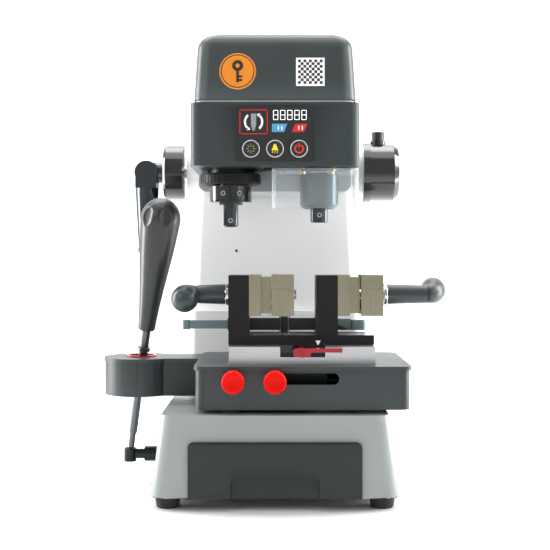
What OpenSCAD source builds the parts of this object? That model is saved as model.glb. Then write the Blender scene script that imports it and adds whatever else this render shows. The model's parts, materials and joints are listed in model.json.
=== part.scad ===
// Key duplicating machine: a vertical milling key cutter.
// Millimetres. +Z is up, +X is right and -Y is the front, where the operator stands.
// The origin is on the bench, midway between the tracer and the cutter and under the base's middle.

/* [Base] */
// Width of the base where it meets the feet
base_w = 237; // [232:1:244]
// Width of the base at its top
base_top_w = 218; // [214:1:226]
// Depth of the base, front to back
base_d = 306; // [304:1:308]
// Height of the rubber feet
foot_h = 12; // [11:1:13]

/* [Drawer] */
// Width of the drawer's front
drawer_w = 164; // [160:1:166]
// Height of the drawer's front
drawer_h = 52.5; // [50:0.5:53]

/* [Column] */
// Width of the column at the base
column_w = 198; // [196:1:200]
// Width of the column at its top
column_top_w = 166; // [164:1:168]
// Height of the column's top above the bench
column_z = 420; // [418:1:424]
// Height of the ledge where the column's plinth ends
ledge_z = 179; // [174:1:184]

/* [Head] */
// Width of the head's lower housing
head_w = 166; // [164:1:170]
// Width of the head's cover at its foot
cover_w = 160; // [158:1:163]
// Height of the top of the head above the bench
head_top_z = 461; // [456:1:464]
// Radius of the shank that the cutter chuck and the tracer hold
shank_r = 3; // [2.9:0.1:3.1]

/* [Carriage] */
// Width of the carriage
carriage_w = 209.5; // [208:0.5:211]
// Sideways place of the carriage's middle as it stands
carriage_x = 26.5; // [26:0.5:27]
// Radius of the round ear that carries the joystick
ear_r = 38.5; // [37:0.5:39]

/* [Joystick] */
// Length of the grip
grip_l = 140; // [136:1:144]
// Largest radius of the grip
grip_r = 20.5; // [19:0.5:21]

/* [Feed] */
// Length of the feed lever's handle
lever_l = 99; // [95:1:102]

/* [Hidden] */
$fn = 64;
fine_fn = 96;
hull_fn = 32;
// Overlap that keeps a cut's end clear of the face it leaves.
eps = 0.01;
// Wall of the head's housing.
wall = 4;

// Sizes that the joints depend on, so they aren't for changing alone.
base_top_z = 90;
station_pitch = 90;
lean_right = 8.5;
lean_front = 10;
pinion_teeth = 20;
tooth_module = 2;

// Main planes.
front_y = -base_d / 2;
back_y = base_d / 2;
column_y = 60;
plinth_y = 48;
drawer_z0 = foot_h;
tracer_x = -station_pitch / 2;
spindle_x = station_pitch / 2;
spindle_y = -70;

// Feed shaft and its gear.
feed_y = 88;
feed_z = 338;
feed_shaft_r = 8;
pinion_r = tooth_module * pinion_teeth / 2;
rack_pitch = PI * tooth_module;
backlash = 0.35;

// Joystick pivot in the carriage's ear.
pivot = [-141, -33, 122];
ball_drop = 92;
ball_l = ball_drop / (cos(lean_front) * cos(lean_right));
ball_at = [
    pivot[0] - ball_drop * tan(lean_right),
    pivot[1] + ball_l * sin(lean_front),
    pivot[2] - ball_drop,
];

// Colours.
dark_paint = [0.27, 0.31, 0.31];
pale_paint = [0.71, 0.74, 0.72];
black_part = [0.12, 0.13, 0.13];
steel_part = [0.62, 0.64, 0.66];
nickel_part = [0.67, 0.64, 0.54];
alu_part = [0.80, 0.81, 0.82];
red_part = [0.85, 0.12, 0.10];

// ---- Shared shapes ----

// Box between two limits on each axis.
module span(x, y, z) {
    translate([x[0], y[0], z[0]]) cube([x[1] - x[0], y[1] - y[0], z[1] - z[0]]);
}

// Round bar along X, Y or Z between two limits.
module bar_x(x, y, z, r) {
    translate([x[0], y, z]) rotate([0, 90, 0]) cylinder(h = x[1] - x[0], r = r);
}

module bar_y(y, x, z, r) {
    translate([x, y[0], z]) rotate([-90, 0, 0]) cylinder(h = y[1] - y[0], r = r);
}

module bar_z(x, y, z, r) {
    translate([x, y, z[0]]) cylinder(h = z[1] - z[0], r = r);
}

// Rectangle w by d about the origin with round corners.
module soft_rect(w, d, r) {
    square([w - 2 * r, d], center = true);
    square([w, d - 2 * r], center = true);
    for (sx = [-1, 1], sy = [-1, 1]) {
        translate([sx * (w / 2 - r), sy * (d / 2 - r)]) circle(r = r);
    }
}

// Upright box with round vertical edges.
module soft_span(x, y, z, r) {
    translate([(x[0] + x[1]) / 2, (y[0] + y[1]) / 2, z[0]])
        linear_extrude(height = z[1] - z[0]) soft_rect(x[1] - x[0], y[1] - y[0], r);
}

// Plate facing front with round corners.
module soft_panel(x, y, z, r) {
    translate([(x[0] + x[1]) / 2, y[1], (z[0] + z[1]) / 2])
        rotate([90, 0, 0]) linear_extrude(height = y[1] - y[0])
            soft_rect(x[1] - x[0], z[1] - z[0], r);
}

// Casting that narrows upwards, with round vertical edges.
module drafted_block(w0, w1, y0, y1, z, r, y_draft = 0) {
    slab = 1;
    hull() {
        soft_span([-w0 / 2, w0 / 2], [y0, y1], [z[0], z[0] + slab], r, $fn = hull_fn);
        soft_span([-w1 / 2, w1 / 2], [y0 + y_draft, y1 - y_draft], [z[1] - slab, z[1]], r,
            $fn = hull_fn);
    }
}

// Puts children at each point of a list.
module at_each(points) {
    for (p = points) {
        translate(p) children();
    }
}

// Tube along Z.
module tube(h, r_out, r_in) {
    difference() {
        cylinder(h = h, r = r_out);
        translate([0, 0, -eps]) cylinder(h = h + 2 * eps, r = r_in);
    }
}

// Socket-head screw along +Z: its head sits below the origin and its shank goes up.
module socket_screw(r, length, head_r, head_h) {
    difference() {
        translate([0, 0, -head_h]) cylinder(h = head_h, r = head_r);
        translate([0, 0, -head_h - eps]) cylinder(h = head_h * 0.6, r = r * 0.8, $fn = 6);
    }
    cylinder(h = length, r = r);
}

// ---- Base ----

foot_points = [for (sx = [-1, 1], sy = [-1, 1]) [sx * 103, sy * 132, 0]];
drawer_x = drawer_w / 2;
bay_x = drawer_x - 4;
bay_top = drawer_z0 + drawer_h - 4;
column_bolt_points = [for (sx = [-1, 1], y = [72, 138]) [sx * 84, y, 0]];
y_rail_z = 98.5;
y_rail_r = 4;
y_rail_points = [-45, 45];
inlet_z = [34, 62];
inlet_x = [55, 83];

module base_casting() {
    color(pale_paint) difference() {
        drafted_block(base_w, base_top_w, front_y, back_y, [foot_h, base_top_z], 14, 3);
        drafted_block(base_w - 18, base_top_w - 18, front_y + 10, back_y - 12,
            [foot_h - 1, base_top_z - 7], 8, 2);
        span([-bay_x, bay_x], [front_y - 5, front_y + 14], [foot_h - 1, bay_top]);
        // Seat of the drawer's front, half a millimetre clear all round.
        soft_panel([-drawer_x - 0.5, drawer_x + 0.5], [front_y - 5, front_y + 3.9],
            [drawer_z0 - 6, drawer_z0 + drawer_h + 0.5], 5);
        at_each(foot_points) bar_z(0, 0, [foot_h - 1, 40], 2.55);
        at_each(column_bolt_points) bar_z(0, 0, [70, base_top_z - 7], 6.1);
        span(inlet_x, [back_y - 20, back_y + 5], inlet_z);
        at_each(column_bolt_points) bar_z(0, 0, [70, 95], 3.05);
        bar_x([-130, -90], ball_at[1], ball_at[2], 4.05);
        bar_x([-130, -116.8], ball_at[1], ball_at[2], 8.4);
    }
    // Corner bosses that take the foot screws.
    color(pale_paint) at_each(foot_points) difference() {
        bar_z(0, 0, [foot_h + 3, base_top_z - 7], 8);
        bar_z(0, 0, [foot_h, 40], 2.55);
    }
}

module bottom_plate() {
    color(black_part) difference() {
        span([-107.5, 107.5], [front_y + 14.5, back_y - 14.5], [foot_h, foot_h + 3]);
        at_each(foot_points) bar_z(0, 0, [foot_h - 1, foot_h + 4], 2.6);
    }
}

module rubber_feet() {
    color([0.08, 0.08, 0.08]) at_each(foot_points) difference() {
        rotate_extrude() polygon([[0, 0], [10, 0], [11, 1], [12.5, foot_h - 1], [12, foot_h], [0, foot_h]]);
        bar_z(0, 0, [-1, 6], 5.5);
        bar_z(0, 0, [0, foot_h + 1], 2.6);
    }
}

module base_fasteners() {
    color(steel_part) at_each(foot_points) translate([0, 0, 6]) socket_screw(2.5, 28, 4.5, 3);
    color(steel_part) at_each(column_bolt_points) translate([0, 0, base_top_z - 7])
        socket_screw(3, 31, 5.5, 6);
}

module power_supply() {
    color(steel_part) span([-50, 40], [62, 130], [foot_h + 3, 58]);
}

module power_inlet() {
    color(black_part) difference() {
        union() {
            span([inlet_x[0] + 0.2, inlet_x[1] - 0.2], [back_y - 22, back_y],
                [inlet_z[0] + 0.2, inlet_z[1] - 0.2]);
            soft_panel([inlet_x[0] - 10, inlet_x[1] + 10], [back_y, back_y + 2.5],
                [inlet_z[0] - 3, inlet_z[1] + 3], 3);
        }
        span([inlet_x[0] + 3, inlet_x[1] - 3], [back_y - 14, back_y + 5],
            [inlet_z[0] + 6, inlet_z[1] - 6]);
    }
    color(nickel_part) for (x = [-7, 0, 7]) {
        translate([(inlet_x[0] + inlet_x[1]) / 2 + x, back_y - 14, (inlet_z[0] + inlet_z[1]) / 2])
            span([-1, 1], [0, 12], [-2.5, 2.5]);
    }
}

module joystick_anchor() {
    cup_z = [ball_at[2] - 8, ball_at[2] + 6];
    color(steel_part) difference() {
        union() {
            bar_z(ball_at[0], ball_at[1], cup_z, 6.5);
            bar_x([ball_at[0] + 5.6, -139], ball_at[1], ball_at[2], 5.3);
            bar_x([-139, -116.9], ball_at[1], ball_at[2], 8);
            bar_x([-117, -100], ball_at[1], ball_at[2], 4);
        }
        bar_z(ball_at[0], ball_at[1], [cup_z[0] + 2, cup_z[1] + 1], 5);
    }
}

// ---- Drawer ----

tray_x = bay_x - 4;
tray_y = [front_y + 3.5, 40];
tray_z = [foot_h + 7, foot_h + 44];
notch_w = 84;
notch_h = 22;

module drawer_runners() {
    color(steel_part) for (side = [-1, 1]) {
        difference() {
            span([side * tray_x - 3.6, side * tray_x + 3.6], [front_y + 14, 52], [foot_h + 3, foot_h + 15]);
            span([side * tray_x - 5 - side * 1.2, side * tray_x + 5 - side * 1.2 - 0.4],
                [front_y + 10, 60], [foot_h + 6.7, foot_h + 16]);
        }
    }
}

module drawer_tray() {
    color(black_part) difference() {
        span([-tray_x, tray_x], tray_y, tray_z);
        span([-tray_x + 2, tray_x - 2], [tray_y[0] + 2, tray_y[1] - 2], [tray_z[0] + 2, tray_z[1] + 1]);
    }
}

module drawer_front() {
    lip_z = drawer_z0 + drawer_h;
    color([0.23, 0.26, 0.25]) difference() {
        soft_panel([-drawer_x, drawer_x], [front_y - 2.5, front_y + 3.5], [drawer_z0 - 6, lip_z], 5);
        span([-drawer_x - 1, drawer_x + 1], [front_y - 4, front_y + 5], [drawer_z0 - 7, drawer_z0]);
        soft_panel([-notch_w / 2, notch_w / 2], [front_y - 5, front_y + 1],
            [drawer_z0 - 10, drawer_z0 + notch_h], 7);
    }
    color([0.23, 0.26, 0.25])
        span([-drawer_x + 8, drawer_x - 8], [front_y - 3.5, front_y - 2.5], [lip_z - 3, lip_z - 1]);
}

// ---- Column ----

rod_x = 50;
rod_y = 122;
rod_r = 6;
slot_z = [347, 409];
neck_x = 30;
boss_x = 101;

module column_casting() {
    color(pale_paint) difference() {
        union() {
            drafted_block(column_w - 4, column_top_w, column_y, back_y - 1, [base_top_z, column_z], 8, 0);
            drafted_block(column_w, column_w - 6, plinth_y, back_y, [base_top_z, ledge_z], 8, 3);
            bar_x([-boss_x, -70], feed_y, feed_z, 24);
            bar_x([70, boss_x], feed_y, feed_z, 24);
        }
        difference() {
            drafted_block(column_w - 22, column_top_w - 18, column_y + 8, back_y - 8,
                [base_top_z - 1, column_z - 8], 4);
            span([-100, 100], [rod_y - 10, back_y], [280, 292]);
            for (side = [-1, 1]) bar_x([side * 85 - 15, side * 85 + 15], feed_y, feed_z, 21);
            at_each(column_bolt_points) bar_z(0, 0, [base_top_z - 2, base_top_z + 28], 9);
        }
        // Room for the pinion and for the foot of the rack.
        span([-9.5, 9.5], [column_y + 5, column_y + 9], [feed_z - 12, feed_z + 12]);
        span([-9, 9], [rod_y - 11, rod_y + 1], [279, 293]);
        span([-60, 60], [back_y - 10, back_y + 5], [110, 272]);
        span([-60, 60], [back_y - 10, back_y + 5], [300, 400]);
        span([-neck_x - 3, neck_x + 3], [column_y - 5, column_y + 12], slot_z);
        for (side = [-1, 1]) bar_z(side * rod_x, rod_y, [279, column_z + 1], rod_r);
        bar_x([-boss_x - 1, boss_x + 1], feed_y, feed_z, 12);
        at_each(column_bolt_points) bar_z(0, 0, [base_top_z - 1, base_top_z + 26], 3);
        bar_y([plinth_y, column_y + 10], -44, 247, 1.6);
    }
}

module column_rear_cover() {
    color(black_part) difference() {
        soft_panel([-66, 66], [back_y, back_y + 2.5], [104, 406], 6);
        for (z = [118:8:166]) soft_panel([-40, 40], [back_y - 1, back_y + 4], [z, z + 4], 1.9);
    }
    color(steel_part) for (sx = [-1, 1], z = [107, 403]) bar_y([back_y + 2.5, back_y + 4], sx * 56, z, 2.5);
}

module head_guide_rods() {
    color(steel_part) for (side = [-1, 1]) bar_z(side * rod_x, rod_y, [280, column_z], rod_r);
}

module shaft_bushes() {
    color([0.72, 0.58, 0.30]) for (side = [-1, 1]) {
        translate([side * (boss_x + 72) / 2, feed_y, feed_z]) rotate([0, 90, 0])
            translate([0, 0, -14.5]) tube(29, 12, feed_shaft_r + 0.05);
    }
}

// Fixed drum on the right that holds the feed's return spring.
drum_x = [109.6, 136.4];
drum_r = 33.5;

module spring_drum() {
    color(steel_part) difference() {
        bar_x([boss_x, drum_x[0]], feed_y, feed_z, 35.3);
        bar_x([boss_x - 1, drum_x[0] + 1], feed_y, feed_z, feed_shaft_r + 1);
    }
    color(black_part) difference() {
        union() {
            bar_x(drum_x, feed_y, feed_z, drum_r);
            translate([drum_x[1], feed_y, feed_z]) rotate([0, 90, 0])
                cylinder(h = 5.6, r1 = drum_r, r2 = drum_r - 4);
        }
        bar_x([drum_x[0] - 1, drum_x[1]], feed_y, feed_z, drum_r - 3);
        bar_z(120, feed_y, [feed_z + 25, feed_z + 40], 2.5);
    }
    color(black_part) translate([120, feed_y, feed_z + drum_r - 1]) tube(4.5, 9, 2.5);
}

// Flat strip wound in a spiral between the shaft and the drum.
module return_spring() {
    turns = 4;
    r0 = feed_shaft_r + 2.5;
    r1 = drum_r - 9;
    steps = 24 * turns;
    strip = 0.9;
    radius = function (i) r0 + (r1 - r0) * i / steps;
    point = function (i, r) [r * cos(i * 15), r * sin(i * 15)];
    color(steel_part) translate([113, feed_y, feed_z]) rotate([0, 90, 0]) linear_extrude(height = 14)
        polygon(concat(
            [for (i = [0:steps]) point(i, radius(i))],
            [for (i = [steps:-1:0]) point(i, radius(i) - strip)]
        ));
}

module head_lock_screw() {
    color(black_part) translate([120, feed_y, 0]) {
        bar_z(0, 0, [feed_z + 26, feed_z + 37.2], 2.45);
        bar_z(0, 0, [feed_z + 37.2, feed_z + 47], 7.3);
    }
}

// ---- Fore-and-aft rails and the cross slide ----

y_rail_y = [-108, 4];
x_rail_z = 118;
x_rail_r = 4.5;
x_rail_x = [-68, 77];
x_rail_y = [-98, -25];
bearing_wall = 2.4;

module y_rails() {
    color(steel_part) for (x = y_rail_points) bar_y(y_rail_y, x, y_rail_z, y_rail_r);
    color(alu_part) for (x = y_rail_points, y = [y_rail_y[0], y_rail_y[1] - 8]) difference() {
        span([x - 9, x + 9], [y, y + 8], [base_top_z, y_rail_z + 5]);
        bar_y([y - 1, y + 9], x, y_rail_z, y_rail_r);
    }
}

module cross_slide() {
    color([0.55, 0.45, 0.35]) difference() {
        union() {
            span([-68, 77], [-110, -12], [104.5, 109]);
            for (x = y_rail_points) span([x - 10, x + 10], [-85, -35], [90.9, 105]);
            for (x = x_rail_x, y = x_rail_y) {
                inner = x < 0 ? x : x - 8;
                span([inner, inner + 8], [y - 8, y + 8], [104.5, 125]);
            }
            span([-7, 7], [-121, -109.5], [104.5, 127.5]);
        }
        for (x = y_rail_points) bar_y([-86, -34], x, y_rail_z, y_rail_r + bearing_wall);
        for (y = x_rail_y) bar_x([-70, 80], y, x_rail_z, x_rail_r);
    }
    color(steel_part) bar_y([-159, -121], 0, knob_z, 4);
}

module y_bearings() {
    color([0.72, 0.58, 0.30]) for (x = y_rail_points) {
        translate([x, -35, y_rail_z]) rotate([90, 0, 0])
            tube(50, y_rail_r + bearing_wall, y_rail_r + 0.05);
    }
}

module x_guide_rods() {
    color(steel_part) for (y = x_rail_y) bar_x(x_rail_x, y, x_rail_z, x_rail_r);
}

// ---- Carriage ----

carriage_x0 = carriage_x - carriage_w / 2;
carriage_x1 = carriage_x + carriage_w / 2;
carriage_y = [-142, 16];
carriage_z = [94, 135.5];
lip_h = 4;
knob_z = 122;
knob_left_x = -39.6;
slot_x = [-4, 56];
rail_z1 = 152.4;

// Outline of the carriage from above, drawn in by an inset.
module carriage_outline(inset) {
    translate([carriage_x, (carriage_y[0] + carriage_y[1]) / 2])
        soft_rect(carriage_w - 2 * inset, carriage_y[1] - carriage_y[0] - 2 * inset, 10);
}

module carriage_housing() {
    color(dark_paint) difference() {
        union() {
            translate([0, 0, carriage_z[0]]) linear_extrude(height = carriage_z[1] - carriage_z[0] - lip_h)
                carriage_outline(1.5);
            translate([0, 0, carriage_z[1] - lip_h]) linear_extrude(height = lip_h) carriage_outline(0);
            bar_z(pivot[0], pivot[1], [carriage_z[0] + 3, carriage_z[1] - lip_h], ear_r - 1);
            bar_z(pivot[0], pivot[1], [carriage_z[1] - lip_h, carriage_z[1]], ear_r);
            span([pivot[0], carriage_x0 + 10], [pivot[1] - 27, pivot[1] + 27],
                [carriage_z[0] + 3, carriage_z[1]]);
        }
        // Hollow underside.
        span([carriage_x0 + 6, carriage_x1 - 6], [carriage_y[0] + 6, carriage_y[1] - 6],
            [carriage_z[0] - 1, carriage_z[1] - 6.5]);
        // Hollow ear, left open below for the joystick's rod.
        difference() {
            union() {
                bar_z(pivot[0], pivot[1], [carriage_z[0] - 1, carriage_z[1] - 5], ear_r - 5);
                span([pivot[0], carriage_x0 - 1], [pivot[1] - 22, pivot[1] + 22],
                    [carriage_z[0] - 1, carriage_z[1] - 5]);
            }
            bar_z(pivot[0], pivot[1], [pivot[2] - 6, carriage_z[1]], 21);
        }
        bar_z(pivot[0], pivot[1], [pivot[2] - 7, carriage_z[1] + 1], 14.8);
        bar_y([pivot[1] - 21, pivot[1] + 21], pivot[0], pivot[2], 2.05);
        // Slot that the right-hand lock knob's stud runs in.
        hull() {
            for (x = slot_x) {
                bar_y([carriage_y[0] - 1, carriage_y[0] + 8], x, knob_z + 1.5, 5.5, $fn = hull_fn);
            }
        }
        bar_y([carriage_y[0] - 1, carriage_y[0] + 20], knob_left_x, knob_z, 3.05);
        bar_z(lever_post[0], lever_post[1], [carriage_z[1] - 10, carriage_z[1] + 1], 4.05);
    }
    // Boss behind the left-hand lock knob.
    color(dark_paint) difference() {
        bar_y([carriage_y[0] + 6, -115], knob_left_x, knob_z, 6.4);
        bar_y([carriage_y[0] + 5, -110], knob_left_x, knob_z, 3.05);
    }
}

module x_bearing_blocks() {
    for (y = x_rail_y) {
        color(alu_part) difference() {
            span([carriage_x - 25, carriage_x + 25], [y - 9, y + 9], [110, carriage_z[1] - 6.5]);
            bar_x([carriage_x - 26, carriage_x + 26], y, x_rail_z, x_rail_r + 2.5);
        }
        color([0.72, 0.58, 0.30]) translate([carriage_x - 25, y, x_rail_z]) rotate([0, 90, 0])
            tube(50, x_rail_r + 2.5, x_rail_r + 0.05);
    }
}

// Round knob with grip flats, facing front.
module lock_knob(x, stem_r) {
    flats = 18;
    color(red_part) translate([x, carriage_y[0] - 7, knob_z]) rotate([90, 0, 0]) difference() {
        union() {
            cylinder(h = 13, r = 11);
            translate([0, 0, -4]) cylinder(h = 4, r = 8);
        }
        for (i = [0:flats - 1]) rotate(i * 360 / flats) translate([11.6, 0, -1]) cylinder(h = 16, r = 1.1);
        translate([0, 0, -5]) cylinder(h = 15, r = stem_r);
    }
}

module lock_knob_right() {
    lock_knob(0, 4.05);
}

module lock_knob_left() {
    lock_knob(knob_left_x, 3);
    color(steel_part) bar_y([carriage_y[0] - 17, x_rail_y[0] - 8.4], knob_left_x, knob_z, 3);
}

// ---- Joystick ----

module in_joystick_frame() {
    translate(pivot) rotate([0, lean_right, 0]) rotate([lean_front, 0, 0]) children();
}

module pivot_seal_ring() {
    color(red_part) translate([pivot[0], pivot[1], carriage_z[1]]) tube(1.6, 15.5, 13.6);
}

module gimbal_ring() {
    color(steel_part) translate(pivot) rotate([0, lean_right, 0]) difference() {
        union() {
            translate([0, 0, -3]) tube(6, 13, 9.5);
            for (side = [-1, 1]) bar_y(side > 0 ? [12.7, 19.5] : [-19.5, -12.7], 0, 0, 2);
        }
        bar_x([-14, 14], 0, 0, 2.05);
    }
}

module joystick_rod() {
    color(steel_part) in_joystick_frame() {
        cylinder(h = 52, r = 4.7);
        translate([0, 0, -5]) cylinder(h = 5, r = 4.7);
        translate([0, 0, 20]) cylinder(h = 4, r = 6.5);
        bar_x([-12.8, 12.8], 0, 0, 2);
        translate([0, 0, -70]) cylinder(h = 65, r = 4.3);
        translate([0, 0, -86]) cylinder(h = 16, r = 3.3);
        translate([0, 0, -ball_l]) cylinder(h = ball_l - 86, r = 2.6);
        translate([0, 0, -ball_l]) sphere(r = 3.6);
    }
}

// Pear-shaped grip, turned about the rod.
module joystick_grip() {
    top = 43 + grip_l;
    color([0.36, 0.39, 0.41]) in_joystick_frame() difference() {
        rotate_extrude($fn = fine_fn) polygon(concat(
            [[0, 43], [8, 43], [9, 45]],
            [for (t = [0:0.1:1]) [9 + (grip_r - 9) * (1 - cos(180 * t)) / 2, 48 + (grip_l - 29) * t]],
            [for (a = [15:15:75]) [grip_r * cos(a), 19 + grip_l + 24 * sin(a)]],
            [[0, top]]
        ));
        translate([0, 0, 42]) cylinder(h = 10, r = 4.7);
    }
}

// ---- Lever behind the vice ----

lever_post = [10, -27];

module table_lever() {
    bar_z0 = plate_z[1] + 0.8;
    bar_y0 = lever_post[1] - 4;
    bar_y1 = lever_post[1] + 4;
    color(black_part) {
        bar_z(lever_post[0], lever_post[1], [carriage_z[1] + 0.3, bar_z0 + 14.5], 6);
        bar_z(lever_post[0], lever_post[1], [carriage_z[1] - 6.2, carriage_z[1] + 0.3], 4);
        difference() {
            span([-50, 50], [bar_y0, bar_y1], [bar_z0, bar_z0 + 12.7]);
            bar_z(lever_post[0], lever_post[1], [bar_z0 - 1, bar_z0 + 15], 6);
        }
    }
    color([0.45, 0.50, 0.50]) {
        span([-90, -50], [bar_y0, bar_y1], [bar_z0 + 1.5, bar_z0 + 10.4]);
        soft_span([-98, -90], [bar_y0 - 1, bar_y1 + 1], [bar_z0 + 0.7, bar_z0 + 10.8], 3);
        span([50, 80], [bar_y0, bar_y1], [bar_z0, bar_z0 + 12]);
        soft_span([80, 96], [bar_y0 - 1, bar_y1 + 1], [bar_z0, bar_z0 + 10.8], 4);
    }
}

// ---- Vice ----

jaw_z = [181, 222];
jaw_y = [-93, -48];
upright_x = [[-46.6, -26], [41.2, 62.8]];
fixed_jaw_x = [[-26, -14.2], [62.8, 74.8]];
moving_jaw_x = [[-3.5, 19], [86.3, 108.3]];
screw_y = -68;
screw_z = 202;
screw_r = 4;
guide_r = 2.5;
guide_at = [[-82, 189], [-56, 189]];
anvil_l = 10.4;
plate_z = [152.6, 162];
key_y = [-84, -72];
cam_hub = [26.3, 147.1];

module vice_rail() {
    color(alu_part) difference() {
        span([-45, 98], [-119, -45], [carriage_z[1], rail_z1]);
        span([5, 49], [-120, -96], [142.3, rail_z1 + 1]);
        span([-46, 99], key_y, [146, rail_z1 + 1]);
        bar_y([-97, -90.6], cam_hub[0], cam_hub[1], 3.55);
        for (x = [-34, 87]) bar_z(x, -58, [carriage_z[1] - 1, rail_z1 + 1], 2.6);
    }
    color(steel_part) for (x = [-34, 87]) bar_z(x, -58, [carriage_z[1], carriage_z[1] + 12], 2.6);
}

// Flat lever whose round cam sits in the rail's recess.
module cam_lever() {
    color([0.72, 0.06, 0.16]) {
        bar_y([-119, -91.2], cam_hub[0], cam_hub[1], 3.5);
        translate([cam_hub[0], -113, cam_hub[1]]) rotate([90, 0, 0]) difference() {
            union() {
                cylinder(h = 13, r = 4.6);
                translate([0, 0, 6.8]) linear_extrude(height = 6.2) soft_rect(17, 8.4, 2.5);
                translate([0, 0.4, 6.8]) cube([39, 3.7, 6.2]);
            }
            translate([0, 0, 11.5]) cylinder(h = 3, r = 2.6);
        }
    }
}

module vice_plate() {
    color(black_part) difference() {
        union() {
            span([-46.6, 99], [-93, -40], plate_z);
            span([-46.6, 99], [key_y[0] + 0.3, key_y[1] - 0.3], [146.4, plate_z[0] + 1]);
        }
        for (b = upright_x, y = [-84, -54]) {
            bar_z((b[0] + b[1]) / 2, y, [plate_z[0] - 1, plate_z[1] + 1], 2.6);
        }
    }
}

module vice_uprights() {
    color(black_part) for (b = upright_x) difference() {
        span(b, jaw_y, [plate_z[1], jaw_z[1] - 0.4]);
        bar_x([b[0] - 1, b[1] + 1], screw_y, screw_z, screw_r + 0.05);
        for (g = guide_at) bar_x([b[0] + 6, b[1] + 1], g[0], g[1], guide_r);
        for (y = [-84, -54]) bar_z((b[0] + b[1]) / 2, y, [plate_z[1] - 1, plate_z[1] + 12], 2.6);
    }
    color(steel_part) for (b = upright_x, y = [-84, -54]) {
        bar_z((b[0] + b[1]) / 2, y, [plate_z[0], plate_z[1] + 12], 2.6);
    }
    // Guide pins that the moving jaws slide on.
    color(steel_part) for (i = [0, 1], g = guide_at) {
        bar_x([upright_x[i][0] + 6, moving_jaw_x[i][1] - 8], g[0], g[1], guide_r);
    }
}

// Steps cut across a jaw's top to seat the key.
module jaw_grooves(x) {
    for (z = [jaw_z[1] - 8, jaw_z[1] - 14.5]) {
        span([x[0] - 1, x[1] + 1], [jaw_y[0] - 1, jaw_y[0] + 0.8], [z, z + 0.9]);
    }
}

module fixed_jaws() {
    for (x = fixed_jaw_x) {
        color(nickel_part) difference() {
            span(x, jaw_y, jaw_z);
            jaw_grooves(x);
            bar_x([x[0] - 1, x[1] + 1], screw_y, screw_z, screw_r + 0.4);
            for (g = guide_at) bar_x([x[0] - 1, x[1] + 1], g[0], g[1], guide_r);
        }
        // Anvil that the key's blade rests on, which runs into the moving jaw's pocket.
        color(nickel_part) difference() {
            span([x[1], x[1] + anvil_l], [jaw_y[0] + 8, jaw_y[1] - 4], [jaw_z[0] + 2.5, jaw_z[1] - 2.2]);
            bar_x([x[1] - 1, x[1] + anvil_l + 1], screw_y, screw_z, screw_r + 0.4);
            for (g = guide_at) bar_x([x[1] - 1, x[1] + anvil_l + 1], g[0], g[1], guide_r);
        }
    }
}

module moving_jaw(x) {
    color(nickel_part) difference() {
        span(x, jaw_y, jaw_z);
        jaw_grooves(x);
        // Pocket that swallows the anvil as the jaw closes.
        span([x[0] - 1, x[0] + 6.6], [jaw_y[0] + 7, jaw_y[1] - 3], [jaw_z[0] - 1, jaw_z[1] + 1]);
        bar_x([x[0] - 1, x[1] + 1], screw_y, screw_z, screw_r + 0.05);
        for (g = guide_at) bar_x([x[0] - 1, x[1] - 2], g[0], g[1], guide_r + 0.05);
    }
}

module moving_jaw_left() {
    moving_jaw(moving_jaw_x[0]);
}

module moving_jaw_right() {
    moving_jaw(moving_jaw_x[1]);
}

// Draw screw, collar, hub and cranked grip; side is -1 for the left handle.
module clamp_handle(side, collar_x, hub_l, screw_l, grip_way) {
    translate([collar_x, screw_y, screw_z]) rotate([0, side * 90, 0]) {
        color(steel_part) {
            cylinder(h = 3.6, r = 11);
            translate([0, 0, -screw_l]) cylinder(h = screw_l, r = screw_r);
        }
        color(black_part) {
            translate([0, 0, 3.6]) cylinder(h = hub_l, r1 = 10.2, r2 = 9);
        }
    }
    grip_x = collar_x + side * (hub_l + 12);
    color(black_part) difference() {
        hull() {
            translate([grip_x, screw_y, screw_z]) sphere(r = 9.5, $fn = hull_fn);
            translate([grip_x, screw_y + grip_way[0] * 18, screw_z + grip_way[1] * 18])
                sphere(r = 11.5, $fn = hull_fn);
            translate([grip_x, screw_y + grip_way[0] * 25, screw_z + grip_way[1] * 25 - 2])
                sphere(r = 13, $fn = hull_fn);
        }
        translate([collar_x, screw_y, screw_z]) rotate([0, side * 90, 0])
            cylinder(h = hub_l + 3.6, r = 10.3);
    }
}

module clamp_handle_left() {
    clamp_handle(-1, -46.9, 31, 68.5, [-1, 0]);
    color(black_part) difference() {
        bar_x([19.6, 21.6], screw_y, screw_z, 12);
        bar_x([19, 22], screw_y, screw_z, screw_r);
    }
}

module clamp_handle_right() {
    clamp_handle(1, 110.6, 42, 64, [1, 0.2]);
}

// ---- Feed ----

pressure_angle = 20;

function involute(base_r, t) = [
    base_r * (cos(t) + t * PI / 180 * sin(t)),
    base_r * (sin(t) - t * PI / 180 * cos(t)),
];

function turned(p, a) = [p[0] * cos(a) - p[1] * sin(a), p[0] * sin(a) + p[1] * cos(a)];

// Half the outline of one tooth, from its root out to its tip, with the tooth centred on angle 0.
function tooth_side(steps = 4) =
    let (
        base_r = pinion_r * cos(pressure_angle),
        tip_r = pinion_r + tooth_module - 0.1,
        t_tip = sqrt(pow(tip_r / base_r, 2) - 1) * 180 / PI,
        t_pitch = tan(pressure_angle) * 180 / PI,
        at_pitch = t_pitch - pressure_angle,
        half_tooth = 90 / pinion_teeth - backlash / 4 / pinion_r * 180 / PI
    )
    [for (i = [0:steps]) turned(involute(base_r, t_tip * i / steps), -half_tooth - at_pitch)];

module pinion_2d() {
    root_r = pinion_r - 1.25 * tooth_module;
    side = tooth_side();
    flip = [for (i = [len(side) - 1:-1:0]) [side[i][0], -side[i][1]]];
    circle(r = root_r);
    for (i = [0:pinion_teeth - 1]) rotate(i * 360 / pinion_teeth) polygon(concat(
        [[root_r - 0.5, side[0][1]]], side, flip, [[root_r - 0.5, -side[0][1]]]
    ));
}

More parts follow.
